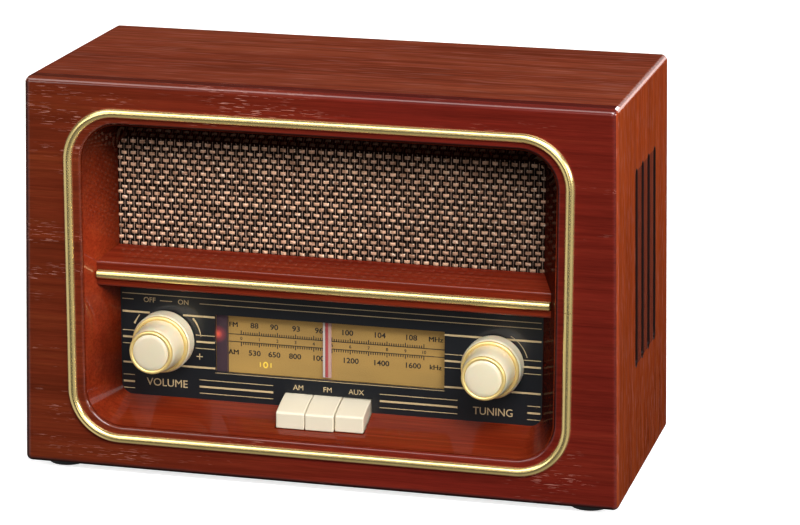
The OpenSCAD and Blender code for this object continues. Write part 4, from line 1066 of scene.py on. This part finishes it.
def make_key(key):
    """A key cap with rounded edges, and its stem."""
    name = f"{key}_key"
    (x0, x1), (d0, d1), (z0, z1) = span(name)
    ridge, cap_t = z0 + 7.8, 18.1
    bm = bmesh.new()
    profile = [(d0, z0), (d0 + 0.25, ridge - 0.6), (d0 + 1.0, ridge + 0.15), (d0 + 7.5, ridge + 2.6),
               (d0 + 15.2, z1), (d0 + cap_t, z1), (d0 + cap_t, z0)]
    grid(bm, [[at(x, d, z) for d, z in profile] for x in (x0, x1)], close_columns=True, cap_rows=True)
    bmesh.ops.recalc_face_normals(bm, faces=bm.faces)
    bmesh.ops.bevel(bm, geom=[e for e in bm.edges if e.calc_face_angle(0) > 0.3], offset=0.55 * MM,
                    segments=4, affect="EDGES", profile=0.5)
    middle, stem, stem_z = (x0 + x1) / 2, 1.5, 30
    add_box(bm, middle - stem, middle + stem, d0 + cap_t - 0.4, d1, stem_z - stem, stem_z + stem)
    piece(f"{name}_cap", bm, MATS["key_ivory"], body=key, replaces=[name], slot="ivory", angle=30)


def make_spring(key):
    """The coil spring between a key and the selector switch."""
    node = f"{key}_key_spring"
    (x0, x1), (d0, d1), (z0, z1) = span(node)
    x, z = (x0 + x1) / 2, (z0 + z1) / 2
    wire_r, turns, steps, sides = 0.3, 4, 24, 8
    coil_r, length = (z1 - z0) / 2 - wire_r, d1 - d0 - 2 * wire_r
    rows = []
    for k in range(turns * steps + 1):
        a, middle = TAU * k / steps, d0 + wire_r + length * k / (turns * steps)
        row = []
        for s in range(sides):
            r, out = coil_r + wire_r * math.cos(TAU * s / sides), wire_r * math.sin(TAU * s / sides)
            row.append(at(x + r * math.cos(a), middle + out, z + r * math.sin(a)))
        rows.append(row)
    bm = bmesh.new()
    grid(bm, rows, close_columns=True, cap_rows=True)
    spring = piece(f"{key}_spring", bm, MATS["steel"], body=None, replaces=[node], slot="steel",
                   weighted=False, angle=60)
    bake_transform(spring)


make_front()
make_body()
make_bezel()
make_cross_bar()
make_trim()
make_cloth()
make_panel_print()
make_scale()
make_pointer_line()
make_knob("volume_knob", -KNOB_X, "volume")
make_knob("tuning_knob", KNOB_X, "tuning")
for key in ("am", "fm", "aux"):
    make_key(key)
    make_spring(key)

# ---- Materials of the CAD nodes ----
NODE_MATS = {
    "hardboard": ["rear_cover"],
    "steel": ["wood_screws", "pulley_pins", "tuning_spindle", "volume_shaft", "volume_control_nut",
              "pointer_rail", "dial_chassis", "aerial_socket"],
    "rubber": ["rubber_feet"],
    "fibreboard": ["speaker_baffle"],
    "dark_metal": ["left_speaker_frame", "right_speaker_frame"],
    "paper": ["left_speaker_cone", "right_speaker_cone"],
    "ferrite": ["left_speaker_magnet", "right_speaker_magnet", "ferrite_aerial"],
    "panel": ["dial_panel"],
    "white": ["light_box", "left_pulley", "right_pulley", "tuning_drum"],
    "lamp": ["scale_lamps"],
    "cord": ["dial_cord"],
    "capacitor": ["tuning_capacitor"],
    "brass_parts": ["spindle_bush", "chassis_spacers"],
    "dark": ["volume_control", "selector_switch", "mains_inlet", "aux_jack"],
    "board": ["main_board"],
    "iron": ["transformer"],
    "wire": ["wiring"],
}


def dress(node, material):
    """Gives a CAD node a material."""
    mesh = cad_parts[node].data
    mesh.materials.clear()
    mesh.materials.append(material)


for material, nodes in NODE_MATS.items():
    for node in nodes:
        dress(node, MATS[material])
dress("scale_plate", scale_material())
dress("dial_window", clear_material("clear_window", (0.02, 0.02, 0.02), 0.07))
dress("pointer", clear_material("pointer_acrylic", (0.9, 0.6, 0.55), 0.45))
dress("power_lamp", power_material(at(-54.5, 27, 61.5)))
